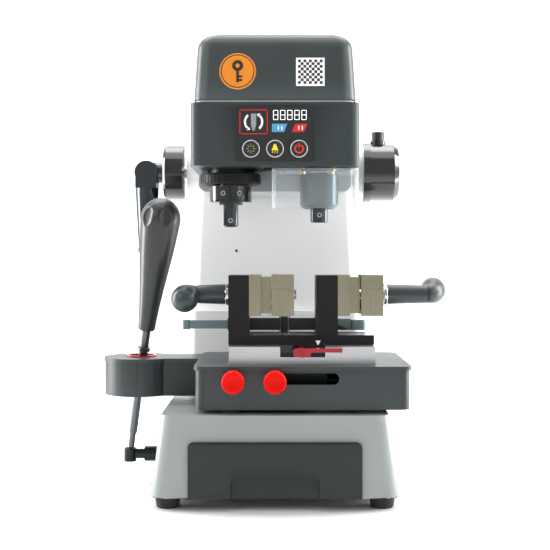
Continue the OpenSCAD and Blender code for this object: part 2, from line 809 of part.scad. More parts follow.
module feed_pinion() {
    color(steel_part) translate([-8, feed_y, feed_z]) rotate([90, 0, 90]) difference() {
        linear_extrude(height = 16) pinion_2d();
        translate([0, 0, -1]) cylinder(h = 18, r = feed_shaft_r);
    }
}

module feed_shaft() {
    color(steel_part) bar_x([-128, 132], feed_y, feed_z, feed_shaft_r);
}

elbow_x = -149;

module lever_hub() {
    color(black_part) difference() {
        union() {
            translate([-103.7, feed_y, feed_z]) rotate([0, -90, 0]) rotate_extrude($fn = fine_fn)
                polygon([[0, 0], [30, 0], [32.2, 2], [32.2, 22], [30, 24.5], [0, 24.5]]);
            bar_x([elbow_x, -127], feed_y, feed_z, 12.5);
            bar_y([feed_y - 12.5, feed_y + 12.5], elbow_x, feed_z, 12.5);
        }
        bar_x([-128, -100], feed_y, feed_z, feed_shaft_r);
        for (y = [[feed_y - 20, feed_y - 6.5], [feed_y + 6.5, feed_y + 20]]) {
            bar_y(y, elbow_x, feed_z, 14.2);
            span([elbow_x - 20, elbow_x + 13.5], y, [feed_z - 19, feed_z]);
        }
        bar_y([feed_y - 14, feed_y + 14], elbow_x, feed_z, 4);
    }
}

module feed_lever() {
    color(black_part) difference() {
        union() {
            for (y = [[feed_y - 12.5, feed_y - 7], [feed_y + 7, feed_y + 12.5]]) {
                bar_y(y, elbow_x, feed_z, 13.4);
                span([elbow_x - 12.5, elbow_x + 12.5], y, [feed_z - 18, feed_z]);
            }
            translate([elbow_x, feed_y, feed_z - 18]) rotate([180, 0, 0]) rotate_extrude() polygon(concat(
                [[0, 0], [13.4, 0], [13.4, 6]],
                [[9.8, lever_l - 28], [11, lever_l - 26]],
                [for (a = [0:15:75]) [11 * cos(a), lever_l - 18 - 11 + 11 * sin(a)]],
                [[0, lever_l - 18]]
            ));
        }
        bar_y([feed_y - 14, feed_y + 14], elbow_x, feed_z, 4);
    }
    // Pivot screw through the fork.
    color(steel_part) translate([elbow_x, feed_y - 12.5, feed_z]) rotate([-90, 0, 0])
        socket_screw(3.95, 25, 6, 1.8);
}

// ---- Head ----

neck_z = [390, 406];
rack_y = feed_y + pinion_r;

module head_frame() {
    color([0.42, 0.45, 0.46]) difference() {
        union() {
            soft_panel([-79, 79], [-50, 54], [308, 329], 8);
            span([-79, 79], [46, 54], [320, neck_z[1]]);
            span([-neck_x, neck_x], [50, 134], neck_z);
            span([-62, 62], [110, 134], [366, neck_z[1]]);
        }
        span([-70, 70], [-42, 42], [315, 330]);
        // Way through for the pinion and the rack.
        span([-12, 12], [62, 110], [360, neck_z[1] + 1]);
        span([-8, 8], [100, 122], [360, neck_z[1] + 1]);
        for (side = [-1, 1]) bar_z(side * rod_x, rod_y, [365, neck_z[1] + 1], 9);
        // Clearance round the tracer's depth ring.
        bar_z(tracer_x, spindle_y, [307, 330], 31.4);
    }
    color([0.72, 0.58, 0.30]) for (side = [-1, 1]) {
        translate([side * rod_x, rod_y, 366]) tube(neck_z[1] - 366, 9, rod_r + 0.05);
    }
}

module feed_rack() {
    tooth_w = rack_pitch / 2 - backlash / 2;
    slope = tan(pressure_angle);
    rack_z = [feed_z - 12, neck_z[1]];
    color(steel_part) translate([8, 0, 0]) rotate([0, -90, 0]) linear_extrude(height = 16) {
        translate([rack_z[0], rack_y + 1.25 * tooth_module]) square([rack_z[1] - rack_z[0], 11.5]);
        for (i = [-2:7]) {
            z = feed_z + (i + 0.5) * rack_pitch;
            polygon([
                [z - tooth_w / 2 - 1.25 * tooth_module * slope, rack_y + 1.25 * tooth_module],
                [z - tooth_w / 2 + 0.9 * tooth_module * slope, rack_y - 0.9 * tooth_module],
                [z + tooth_w / 2 - 0.9 * tooth_module * slope, rack_y - 0.9 * tooth_module],
                [z + tooth_w / 2 + 1.25 * tooth_module * slope, rack_y + 1.25 * tooth_module],
            ]);
        }
    }
}

head_x = head_w / 2;
head_y = [-120, 46];
housing_z = [329, 391];
panel_x = [-37.2, 37.2];
panel_z = [333.5, 387];

module head_housing() {
    color(dark_paint) difference() {
        soft_span([-head_x, head_x], head_y, housing_z, 10);
        soft_span([-head_x + wall, head_x - wall], [head_y[0] + wall, head_y[1] - wall],
            [housing_z[0] + wall, housing_z[1] + 1], 6);
        span([panel_x[0] + 3, panel_x[1] - 3], [head_y[0] - 1, head_y[0] + 5],
            [panel_z[0] + 3, panel_z[1] - 3]);
        bar_z(spindle_x, spindle_y, [housing_z[0] - 1, housing_z[1]], 19.5);
        bar_z(tracer_x, spindle_y, [housing_z[0] - 1, housing_z[1]], 17.5);
        for (x = [27, 55]) bar_z(x, -104, [housing_z[0] - 1, housing_z[0] + 5], 1.5);
    }
}

module head_cover() {
    corner = 17.5;
    foot = housing_z[1] + 2.5;
    color(dark_paint) difference() {
        hull() {
            soft_span([-cover_w / 2, cover_w / 2], [head_y[0] + 2, head_y[1] - 2], [foot, foot + 1], 10,
                $fn = hull_fn);
            for (x = [-75 + corner, 75 - corner], y = [head_y[0] + 4 + corner, head_y[1] - 4 - corner]) {
                translate([x, y, head_top_z - corner]) sphere(r = corner, $fn = hull_fn);
            }
        }
        span([-72, 72], [head_y[0] + 9, head_y[1] - 9], [foot - 1, head_top_z - 14]);
    }
    color(black_part) difference() {
        soft_span([-cover_w / 2 + 4, cover_w / 2 - 4], [head_y[0] + 6, head_y[1] - 6],
            [housing_z[1], foot], 6);
        span([-72, 72], [head_y[0] + 10, head_y[1] - 10], [housing_z[1] - 1, foot + 1]);
    }
}

motor_at = [0, 2];
deck_z = [384, 387];

module motor_body() {
    color(steel_part) difference() {
        bar_z(motor_at[0], motor_at[1], [333, deck_z[0]], 32);
        bar_z(motor_at[0], motor_at[1], [338, deck_z[0] + 1], 29);
        bar_z(motor_at[0], motor_at[1], [332, 339], 5.05);
    }
    // Deck that carries the motor and the top of the spindle.
    color(alu_part) difference() {
        span([-70, 70], [-95, 38], deck_z);
        bar_z(motor_at[0], motor_at[1], [deck_z[0] - 1, deck_z[1] + 1], 5.05);
        bar_z(spindle_x, spindle_y, [deck_z[0] - 1, deck_z[1] + 1], 8);
    }
}

motor_pulley_r = 16;
spindle_pulley_r = 11;
pulley_z = [394, 404];

// Pulley with a flat groove between two flanges, standing on the origin.
module pulley(r) {
    h = pulley_z[1] - pulley_z[0];
    cylinder(h = 1.5, r = r + 2);
    cylinder(h = h, r = r);
    translate([0, 0, h - 1.5]) cylinder(h = 1.5, r = r + 2);
}

module motor_rotor() {
    translate([motor_at[0], motor_at[1], 0]) {
        color(steel_part) bar_z(0, 0, [333.5, pulley_z[1] + 2], 5);
        color([0.72, 0.42, 0.25]) translate([0, 0, 342]) tube(34, 27, 5);
        color(black_part) translate([0, 0, pulley_z[0]]) difference() {
            pulley(motor_pulley_r);
            translate([0, 0, -1]) cylinder(h = 20, r = 5);
        }
    }
}

// Points of an arc about the origin.
function arc(r, a0, a1, steps = 16) = [
    for (i = [0:steps]) let (a = a0 + (a1 - a0) * i / steps) r * [cos(a), sin(a)]
];

// Region inside a belt that runs round both pulleys, at a clearance from their grooves.
module belt_outline(gap) {
    r0 = motor_pulley_r + gap;
    r1 = spindle_pulley_r + gap;
    run = [spindle_x - motor_at[0], spindle_y - motor_at[1]];
    wrap = acos((r0 - r1) / norm(run));
    translate(motor_at) rotate(atan2(run[1], run[0])) polygon(concat(
        arc(r0, wrap, 360 - wrap),
        [for (p = arc(r1, -wrap, wrap)) [norm(run), 0] + p]
    ));
}

module drive_belt() {
    color(black_part) translate([0, 0, pulley_z[0] + 2]) linear_extrude(height = 6) difference() {
        belt_outline(1.7);
        belt_outline(0.3);
    }
}

spindle_r = 19.4;
spindle_z = [293, 384];

module spindle_housing() {
    color([0.45, 0.50, 0.53]) difference() {
        bar_z(spindle_x, spindle_y, spindle_z, spindle_r);
        bar_z(spindle_x, spindle_y, [spindle_z[0] + 6, spindle_z[0] + 16], 16);
        bar_z(spindle_x, spindle_y, [spindle_z[1] - 12, spindle_z[1] + 1], 16);
        bar_z(spindle_x, spindle_y, [spindle_z[0] - 1, spindle_z[1]], 9.5);
        bar_z(spindle_x, spindle_y, [spindle_z[0] + 20, spindle_z[1] - 16], 12);
    }
    color([0.45, 0.50, 0.53]) translate([spindle_x, spindle_y, spindle_z[0] - 4]) difference() {
        cylinder(h = 4, r1 = 15.5, r2 = spindle_r);
        translate([0, 0, -1]) cylinder(h = 6, r = 9.5);
    }
    // Ball bearings at the two ends.
    color(steel_part) for (z = [spindle_z[0] + 6, spindle_z[1] - 12]) {
        translate([spindle_x, spindle_y, z]) tube(9.8, 16, 7.55);
    }
}

module spindle_shaft() {
    color(steel_part) translate([spindle_x, spindle_y, 0]) {
        difference() {
            union() {
                bar_z(0, 0, [289, pulley_z[1] + 2], 7.5);
                bar_z(0, 0, [276, 290], 8.9);
                translate([0, 0, 275]) cylinder(h = 1, r1 = 7.9, r2 = 8.9);
            }
            bar_z(0, 0, [274, 300], shank_r);
            bar_y([-12, 0], 0, 282.5, 2.2);
        }
        bar_y([-7.6, -shank_r - 0.3], 0, 282.5, 2.2);
    }
    color(black_part) translate([spindle_x, spindle_y, pulley_z[0]]) difference() {
        pulley(spindle_pulley_r);
        translate([0, 0, -1]) cylinder(h = 20, r = 7.5);
    }
}

ring_z = [313.4, 324.2];

module tracer_housing() {
    color(black_part) translate([tracer_x, spindle_y, 0]) difference() {
        union() {
            bar_z(0, 0, [ring_z[1] + 0.4, housing_z[0]], 20.4);
            bar_z(0, 0, [housing_z[0], 362], 17.4);
        }
        bar_z(0, 0, [ring_z[1] - 1, 363], 12);
    }
}

module tracer_ring() {
    teeth = 40;
    color(steel_part) translate([tracer_x, spindle_y, ring_z[0]]) difference() {
        union() {
            cylinder(h = 1.2, r1 = 29.4, r2 = 30.6);
            translate([0, 0, 1.2]) cylinder(h = 8.4, r = 30.6);
            translate([0, 0, 9.6]) cylinder(h = 1.2, r1 = 30.6, r2 = 29.4);
        }
        translate([0, 0, -1]) cylinder(h = 13, r = 12.05);
        for (i = [0:teeth - 1]) rotate(i * 360 / teeth) translate([31.2, 0, -1]) cylinder(h = 13, r = 1.1);
    }
}

module tracer_shaft() {
    color(steel_part) translate([tracer_x, spindle_y, 0]) difference() {
        union() {
            bar_z(0, 0, [293, 354], 11.95);
            bar_z(0, 0, [272, 296], 7.6);
            translate([0, 0, 270.6]) cylinder(h = 1.4, r1 = 6.4, r2 = 7.6);
        }
        bar_z(0, 0, [269, 292], shank_r);
        bar_y([-12, 0], 0, 276.9, 1.8);
    }
    // Split clamp collar and its two screws.
    color([0.50, 0.52, 0.52]) translate([tracer_x, spindle_y, 0]) difference() {
        bar_z(0, 0, [295.5, 311.3], 21.4);
        bar_z(0, 0, [295, 312], 11.95);
        span([-0.6, 0.6], [-23, -11], [295, 312]);
        span([-23, 23], [-23, -15], [295, 297.5]);
        for (x = [-7, 9.5]) bar_y([-23, -14], x, 304, 2.6);
    }
    color(black_part) for (x = [-7, 9.5]) {
        bar_y([spindle_y - 18.5, spindle_y - 14], tracer_x + x, 304, 2.6);
    }
}

module spindle_guard() {
    guard_x = [-3, 82];
    guard_y = [-114, -52];
    guard_z = [288, 327];
    color([0.85, 0.9, 0.92, 0.4]) difference() {
        soft_span(guard_x, guard_y, guard_z, 5);
        soft_span([guard_x[0] + 2.5, guard_x[1] - 2.5], [guard_y[0] + 2.5, guard_y[1] + 10],
            [guard_z[0] - 1, guard_z[1] - 2.5], 3);
        bar_z(spindle_x, spindle_y, [guard_z[0], guard_z[1] + 1], spindle_r + 1);
        for (x = [27, 55]) bar_z(x, -104, [guard_z[1] - 4, guard_z[1] + 1], 1.5);
    }
    color([0.80, 0.62, 0.30]) for (x = [27, 55]) {
        bar_z(x, -104, [guard_z[1] - 5, guard_z[1] - 2.5], 3.4);
        bar_z(x, -104, [guard_z[1] - 2.5, housing_z[0] + 3], 1.5);
    }
}

button_x = [-23.4, 0, 23.4];
button_z = 345.3;
button_r = 8.6;

module control_panel() {
    color(black_part) difference() {
        soft_panel(panel_x, [head_y[0] - 1.2, head_y[0]], panel_z, 2);
        for (x = button_x) bar_y([head_y[0] - 2, head_y[0] + 1], x, button_z, button_r + 0.3);
    }
    // Circuit board behind the panel, with its digit display.
    color([0.10, 0.32, 0.20]) span([-33, 33], [head_y[0] + 8, head_y[0] + 9.6], [337, 383]);
    color(black_part) span([-5, 33], [head_y[0], head_y[0] + 8], [370, 383]);
}

module push_button(i) {
    color([0.20, 0.21, 0.21]) translate([button_x[i], head_y[0] + 5, button_z]) rotate([90, 0, 0]) {
        cylinder(h = 6.8, r = button_r);
        translate([0, 0, 6.8]) cylinder(h = 0.6, r1 = button_r, r2 = button_r - 0.6);
    }
    color(black_part) bar_y([head_y[0] + 5, head_y[0] + 7.2], button_x[i], button_z, 2);
}

module button_left() {
    push_button(0);
}

module button_middle() {
    push_button(1);
}

module button_right() {
    push_button(2);
}

base_casting();
bottom_plate();
rubber_feet();
base_fasteners();
power_supply();
power_inlet();
column_casting();
column_rear_cover();
head_guide_rods();
y_rails();
joystick_anchor();
shaft_bushes();
spring_drum();
return_spring();
head_lock_screw();
drawer_runners();
drawer_tray();
drawer_front();
cross_slide();
y_bearings();
x_guide_rods();
lock_knob_right();
carriage_housing();
x_bearing_blocks();
lock_knob_left();
pivot_seal_ring();
gimbal_ring();
joystick_rod();
joystick_grip();
table_lever();
vice_rail();
cam_lever();
vice_plate();
vice_uprights();
fixed_jaws();
moving_jaw_left();
moving_jaw_right();
clamp_handle_left();
clamp_handle_right();
feed_shaft();
feed_pinion();
lever_hub();
feed_lever();
head_frame();
feed_rack();
head_housing();
head_cover();
motor_body();
motor_rotor();
drive_belt();
spindle_housing();
spindle_shaft();
tracer_housing();
tracer_ring();
tracer_shaft();
spindle_guard();
control_panel();
button_left();
button_middle();
button_right();
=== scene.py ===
"""Looks of the key duplicating machine: materials, detailed pieces, light and camera.

Metres, in the CAD row's frame: +Z up, +X right, -Y towards the operator.
"""

import json
import math

import bmesh
import bpy
from mathutils import Matrix, Vector


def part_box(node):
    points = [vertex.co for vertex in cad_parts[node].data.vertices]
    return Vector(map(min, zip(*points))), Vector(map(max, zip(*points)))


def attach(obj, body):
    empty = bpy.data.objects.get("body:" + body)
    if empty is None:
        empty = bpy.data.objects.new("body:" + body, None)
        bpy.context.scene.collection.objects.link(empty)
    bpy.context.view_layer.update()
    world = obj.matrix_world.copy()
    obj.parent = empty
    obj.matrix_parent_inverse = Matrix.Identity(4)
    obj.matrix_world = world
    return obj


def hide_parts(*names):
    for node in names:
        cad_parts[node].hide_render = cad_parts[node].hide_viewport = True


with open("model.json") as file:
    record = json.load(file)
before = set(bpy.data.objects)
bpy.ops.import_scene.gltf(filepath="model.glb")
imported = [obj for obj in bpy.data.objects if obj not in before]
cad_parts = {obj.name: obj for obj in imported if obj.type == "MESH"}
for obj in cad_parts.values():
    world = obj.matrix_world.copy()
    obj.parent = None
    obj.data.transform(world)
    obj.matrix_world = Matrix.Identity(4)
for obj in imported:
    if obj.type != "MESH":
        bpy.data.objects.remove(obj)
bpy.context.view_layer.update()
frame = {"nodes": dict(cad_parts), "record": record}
MM = 0.001
NODES = frame["nodes"]
BODIES = frame["record"]["behaviour"]["bodies"]
BODY_OF = {node: body for body, nodes in BODIES.items() for node in nodes}


# ---------------------------------------------------------------- materials

# Sockets of a Mix node in colour mode.
MIX_FACTOR, MIX_FIRST, MIX_SECOND, MIX_RESULT = 0, 6, 7, 2


class Graph:
    """Small helper round one material's node tree."""

    def __init__(self, name):
        self.mat = bpy.data.materials.new(name)
        self.mat.use_nodes = True
        self.tree = self.mat.node_tree
        self.shader = self.tree.nodes["Principled BSDF"]
        self.coords = self.tree.nodes.new("ShaderNodeTexCoord").outputs["Object"]

    def node(self, kind, **values):
        made = self.tree.nodes.new(kind)
        for key, value in values.items():
            if key in made.inputs:
                made.inputs[key].default_value = value
            else:
                setattr(made, key, value)
        return made

    def link(self, source, target):
        self.tree.links.new(source, target)

    def mapped(self, scale):
        mapping = self.node("ShaderNodeMapping")
        mapping.inputs["Scale"].default_value = scale
        self.link(self.coords, mapping.inputs["Vector"])
        return mapping.outputs["Vector"]

    def noise(self, scale, detail=3.0, stretch=(1, 1, 1), roughness=0.55):
        noise = self.node("ShaderNodeTexNoise")
        noise.inputs["Scale"].default_value = scale
        noise.inputs["Detail"].default_value = detail
        noise.inputs["Roughness"].default_value = roughness
        self.link(self.mapped(stretch), noise.inputs["Vector"])
        return noise.outputs["Fac"]

    def ramp(self, source, low, high, positions=(0.3, 0.7)):
        ramp = self.node("ShaderNodeValToRGB")
        ramp.color_ramp.elements[0].position = positions[0]
        ramp.color_ramp.elements[1].position = positions[1]
        ramp.color_ramp.elements[0].color = low
        ramp.color_ramp.elements[1].color = high
        self.link(source, ramp.inputs["Fac"])
        return ramp.outputs["Color"]

    def scaled(self, source, low, high):
        scale = self.node("ShaderNodeMapRange")
        scale.inputs["To Min"].default_value = low
        scale.inputs["To Max"].default_value = high
        self.link(source, scale.inputs["Value"])
        return scale.outputs["Result"]

    def mix(self, factor, first, second):
        mix = self.node("ShaderNodeMix", data_type="RGBA")
        for source, slot in ((factor, MIX_FACTOR), (first, MIX_FIRST), (second, MIX_SECOND)):
            if isinstance(source, tuple):
                mix.inputs[slot].default_value = source
            else:
                self.link(source, mix.inputs[slot])
        return mix.outputs[MIX_RESULT]

    def bump(self, source, strength, distance):
        bump = self.node("ShaderNodeBump")
        bump.inputs["Strength"].default_value = strength
        bump.inputs["Distance"].default_value = distance
        self.link(source, bump.inputs["Height"])
        self.link(bump.outputs["Normal"], self.shader.inputs["Normal"])

    def worn_edges(self, low=0.51, high=0.56):
        geometry = self.node("ShaderNodeNewGeometry")
        black, white = (0, 0, 0, 1), (1, 1, 1, 1)
        return self.ramp(geometry.outputs["Pointiness"], black, white, (low, high))


def shade(colour, factor):
    """Colour made paler or darker, with full alpha."""
    return tuple(min(1.0, c * factor) for c in colour) + (1.0,)


def painted(name, colour, roughness=0.42, grain=900, bump=0.12, coat=0.0, edge=1.5):
    """Sprayed enamel: fine orange peel, faint mottling and paler worn edges."""
    g = Graph(name)
    mottled = g.ramp(g.noise(18), shade(colour, 0.93), shade(colour, 1.07))
    worn = g.mix(g.worn_edges(), mottled, shade(colour, edge))
    g.link(worn, g.shader.inputs["Base Color"])
    g.link(g.scaled(g.noise(60), roughness - 0.06, roughness + 0.08), g.shader.inputs["Roughness"])
    g.shader.inputs["Coat Weight"].default_value = coat
    g.shader.inputs["Coat Roughness"].default_value = 0.18
    g.bump(g.noise(grain, 2.0), bump, 0.0002)
    return g.mat


def brushed(name, colour, roughness=0.3, stretch=(1, 40, 40), scale=60, bump=0.1):
    """Machined metal with fine lines across the short way of the stretch."""
    g = Graph(name)
    lines = g.noise(scale, 4.0, stretch, 0.7)
    lined = g.ramp(lines, shade(colour, 0.82), shade(colour, 1.12))
    g.link(lined, g.shader.inputs["Base Color"])
    g.link(g.scaled(lines, roughness - 0.08, roughness + 0.1), g.shader.inputs["Roughness"])
    g.shader.inputs["Metallic"].default_value = 1.0
    g.bump(lines, bump, 0.0001)
    return g.mat


def moulded(name, colour, roughness=0.3, grain=400, bump=0.05, coat=0.3, specular=0.5):
    """Moulded or gloss-painted plastic with slight flow marks."""
    g = Graph(name)
    flowed = g.ramp(g.noise(25), shade(colour, 0.9), shade(colour, 1.12))
    g.link(flowed, g.shader.inputs["Base Color"])
    g.link(g.scaled(g.noise(90), roughness - 0.05, roughness + 0.07), g.shader.inputs["Roughness"])
    g.shader.inputs["Specular IOR Level"].default_value = specular
    g.shader.inputs["Coat Weight"].default_value = coat
    g.shader.inputs["Coat Roughness"].default_value = 0.08
    g.bump(g.noise(grain, 2.0), bump, 0.0001)
    return g.mat


def rubbery(name, colour):
    """Dull rubber with dust in its grain."""
    g = Graph(name)
    dusty = g.ramp(g.noise(300, 5.0), shade(colour, 0.8), shade(colour, 1.9))
    g.link(dusty, g.shader.inputs["Base Color"])
    g.link(g.scaled(g.noise(200), 0.7, 0.9), g.shader.inputs["Roughness"])
    g.bump(g.noise(1200, 3.0), 0.3, 0.0002)
    return g.mat


def clear(name, tint=(0.80, 0.86, 0.88), through=0.10, edge=0.85):
    """Clear moulded sheet, glossy and see-through square on; its edges turn opaque and pale, a
    painted highlight standing in for reflection.
    """
    g = Graph(name)
    edge_highlight_weight = g.node("ShaderNodeLayerWeight")
    edge_highlight_weight.inputs["Blend"].default_value = 0.35
    tinted = g.ramp(g.noise(30), shade(tint, 0.97), shade(tint, 1.03))
    g.link(tinted, g.shader.inputs["Base Color"])
    # Opacity rises at grazing angles, so the pale tint shows as a painted highlight along the edges.
    g.link(g.scaled(edge_highlight_weight.outputs["Facing"], through, edge), g.shader.inputs["Alpha"])
    g.link(g.scaled(g.noise(40), 0.04, 0.09), g.shader.inputs["Roughness"])
    g.bump(g.noise(30), 0.05, 0.0002)
    return g.mat


def glowing(name, colour, strength=1.0):
    """Printed mark or lit display, with a little unevenness; emission on a printed mark is a painted
    glow.
    """
    g = Graph(name)
    uneven = g.ramp(g.noise(500), shade(colour, 0.9), shade(colour, 1.05))
    g.link(uneven, g.shader.inputs["Base Color"])
    g.link(uneven, g.shader.inputs["Emission Color"])
    g.shader.inputs["Emission Strength"].default_value = strength
    g.shader.inputs["Roughness"].default_value = 0.35
    return g.mat


MAT = {
    "dark_paint": painted("dark_paint", (0.040, 0.051, 0.052), 0.40, coat=0.1, edge=1.8),
    "shade_paint": painted("shade_paint", (0.018, 0.024, 0.025), 0.43, coat=0.05, edge=1.8),
    "pale_paint": painted("pale_paint", (0.27, 0.295, 0.285), 0.38, bump=0.08, coat=0.2, edge=1.15),
    "column_paint": painted("column_paint", (0.95, 0.96, 0.96), 0.40, bump=0.08, coat=0.1,
                            edge=1.1),
    "sheet_paint": painted("sheet_paint", (0.006, 0.010, 0.009), 0.5, coat=0.0, edge=1.7),
    "black_steel": brushed("black_steel", (0.035, 0.040, 0.040), 0.34, (40, 40, 1)),
    "vice_black": moulded("vice_black", (0.011, 0.011, 0.012), 0.42, coat=0.0, specular=0.25),
    "bright_steel": brushed("bright_steel", (0.62, 0.64, 0.65), 0.22, (40, 40, 1)),
    "dark_chrome": brushed("dark_chrome", (0.10, 0.11, 0.12), 0.2, (40, 40, 1), bump=0.03),
    "grey_steel": brushed("grey_steel", (0.10, 0.135, 0.147), 0.33, (1, 1, 50), bump=0.05),
    "frame_grey": painted("frame_grey", (0.36, 0.38, 0.39), 0.42, edge=1.2),
    "gun_steel": brushed("gun_steel", (0.13, 0.14, 0.15), 0.28, (40, 40, 1)),
    "teal_grey": painted("teal_grey", (0.16, 0.225, 0.24), 0.36, coat=0.2, edge=1.3),
    "nickel": brushed("nickel", (0.40, 0.37, 0.27), 0.36, (60, 60, 1), 40),
    "aluminium": brushed("aluminium", (0.78, 0.79, 0.80), 0.3, (1, 60, 60), 40),
    "bronze": brushed("bronze", (0.60, 0.42, 0.20), 0.3, (1, 40, 40)),
    "brass": brushed("brass", (0.78, 0.53, 0.24), 0.22, (40, 40, 1)),
    "rubber": rubbery("rubber", (0.020, 0.020, 0.020)),
    "gloss_black": moulded("gloss_black", (0.012, 0.013, 0.014), 0.16, coat=0.8),
    "satin_black": moulded("satin_black", (0.022, 0.024, 0.025), 0.34, coat=0.2),
    "teal_black": moulded("teal_black", (0.028, 0.040, 0.043), 0.38, coat=0.15),
    "grip_grey": moulded("grip_grey", (0.013, 0.016, 0.017), 0.42, bump=0.06, coat=0.35),
    "red_gloss": moulded("red_gloss", (0.74, 0.004, 0.001), 0.45, coat=0.0, specular=0.12),
    "red_enamel": moulded("red_enamel", (0.48, 0.006, 0.030), 0.22, coat=0.7),
    "clear": clear("clear"),
    "orange": moulded("orange", (0.93, 0.29, 0.02), 0.35, coat=0.2),
    # Pale grey gasket: painted highlight along the seam between cover and housing.
    "seam_highlight": moulded("seam_highlight", (0.55, 0.57, 0.57), 0.4, coat=0.0),
    "display_glass": moulded("display_glass", (0.006, 0.007, 0.009), 0.12, coat=0.9),
    # White print with a faint glow: painted light, since print is no lamp.
    "print_white_glow": glowing("print_white_glow", (0.88, 0.88, 0.88), 0.25),
    "print_dark": glowing("print_dark", (0.03, 0.03, 0.03), 0.0),
    "print_grey": glowing("print_grey", (0.33, 0.35, 0.36), 0.0),
    "print_red": glowing("print_red", (0.70, 0.03, 0.02), 0.0),
    "print_blue": glowing("print_blue", (0.10, 0.40, 0.68), 0.0),
    "print_gold": glowing("print_gold", (0.62, 0.60, 0.15), 0.0),
    # Yellow and red button icons with a faint glow: painted light, since print is no lamp.
    "print_yellow_glow": glowing("print_yellow_glow", (0.90, 0.68, 0.05), 0.2),
    "print_red_glow": glowing("print_red_glow", (0.85, 0.04, 0.02), 0.2),
    "lit_white": glowing("lit_white", (0.92, 0.95, 0.95), 0.8),
    "supply": brushed("supply", (0.55, 0.56, 0.57), 0.35, (1, 40, 40)),
}

FINISH = {
    "base_casting": "pale_paint", "bottom_plate": "sheet_paint", "rubber_feet": "rubber",
    "base_fasteners": "bright_steel", "power_supply": "supply", "power_inlet": "satin_black",
    "column_casting": "column_paint", "column_rear_cover": "sheet_paint",
    "head_guide_rods": "bright_steel", "y_rails": "bright_steel", "joystick_anchor": "black_steel",
    "shaft_bushes": "bronze", "spring_drum": "gloss_black", "return_spring": "bright_steel",
    "head_lock_screw": "satin_black", "drawer_runners": "bright_steel", "drawer_tray": "satin_black",
    # cross_slide, x_guide_rods and x_bearing_blocks are black steel as painted shade for where they
    # show in the carriage's slot.
    "drawer_front": "sheet_paint", "cross_slide": "black_steel", "y_bearings": "bronze",
    "x_guide_rods": "black_steel", "lock_knob_right": "red_gloss", "carriage_housing": "shade_paint",
    "x_bearing_blocks": "black_steel", "lock_knob_left": "red_gloss", "pivot_seal_ring": "red_enamel",
    "gimbal_ring": "bright_steel", "joystick_rod": "gun_steel", "joystick_grip": "grip_grey",
    # The table lever's satin black is painted shade for its middle, which passes under the jaws;
    # patches() gives its ends teal grey.
    "table_lever": "satin_black", "vice_rail": "aluminium", "cam_lever": "red_enamel",
    "vice_plate": "vice_black", "vice_uprights": "vice_black", "fixed_jaws": "nickel",
    "moving_jaw_left": "nickel", "moving_jaw_right": "nickel", "clamp_handle_left": "teal_black",
    "clamp_handle_right": "teal_black", "feed_shaft": "bright_steel", "feed_pinion": "bright_steel",
    "lever_hub": "gloss_black", "feed_lever": "dark_chrome", "head_frame": "frame_grey",
    "feed_rack": "bright_steel", "head_housing": "shade_paint", "head_cover": "dark_paint",
    "motor_body": "supply", "motor_rotor": "bright_steel", "drive_belt": "rubber",
    "spindle_housing": "grey_steel", "spindle_shaft": "dark_chrome", "tracer_housing": "black_steel",
    "tracer_ring": "vice_black", "tracer_shaft": "dark_chrome", "spindle_guard": "clear",
    "control_panel": "gloss_black", "button_left": "satin_black", "button_middle": "satin_black",
    "button_right": "satin_black",
}


# ---------------------------------------------------------------- CAD nodes

def shade_smooth(mesh):
    for polygon in mesh.polygons:
        polygon.use_smooth = True


def soften(obj, width):
    """Rounds a CAD node's sharp edges and shades it smooth between them."""
    bevel = obj.modifiers.new("edge", "BEVEL")
    bevel.width = width
    bevel.segments = 2
    bevel.limit_method = "ANGLE"
    bevel.angle_limit = math.radians(35)
    bevel.harden_normals = False
    shade_smooth(obj.data)


# Width in mm of the rounded edges on the nodes that have visible square ones.
EDGE = {
    "base_casting": 1.6, "column_casting": 1.6, "carriage_housing": 1.2, "head_housing": 1.2,
    "drawer_front": 0.9, "head_frame": 1.0, "vice_rail": 0.5, "vice_plate": 0.5,
    "vice_uprights": 0.5, "fixed_jaws": 0.3, "moving_jaw_left": 0.4, "moving_jaw_right": 0.4,
    "table_lever": 0.8, "control_panel": 0.6, "cam_lever": 0.8, "cross_slide": 0.6,
    "spindle_guard": 0.3,
}

for node_name, finish in FINISH.items():
    piece = NODES[node_name]
    piece.data.materials.clear()
    piece.data.materials.append(MAT[finish])
    if node_name in EDGE:
        soften(piece, EDGE[node_name] * MM)


# ---------------------------------------------------------------- mesh helpers

def add_piece(name, bm, material, body, smooth=True):
    """Makes an object of a bmesh, gives it a material and lets it ride on a body."""
    mesh = bpy.data.meshes.new(name)
    bmesh.ops.recalc_face_normals(bm, faces=bm.faces)
    bm.to_mesh(mesh)
    bm.free()
    made = bpy.data.objects.new(name, mesh)
    bpy.context.collection.objects.link(made)
    mesh.materials.append(MAT[material])
    if smooth:
        shade_smooth(mesh)
        sharpen(mesh)
    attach(made, body)
    return made


def sharpen(mesh, angle=38):
    """Marks edges steeper than an angle as sharp, so that flats stay flat."""
    bm = bmesh.new()
    bm.from_mesh(mesh)
    for edge in bm.edges:
        if len(edge.link_faces) == 2:
            edge.smooth = edge.calc_face_angle(0) < math.radians(angle)
    bm.to_mesh(mesh)
    bm.free()


def loft(bm, rings):
    """Joins rings of equally many vertices, in order, and caps both ends."""
    count = len(rings[0])
    for below, above in zip(rings, rings[1:]):
        for i in range(count):
            j = (i + 1) % count
            bm.faces.new((below[i], below[j], above[j], above[i]))
    bm.faces.new(rings[-1])
    bm.faces.new(list(reversed(rings[0])))


def frame_along(direction):
    """Rotation that turns +Z to a direction."""
    return Vector(direction).to_track_quat("Z", "Y").to_matrix().to_4x4()


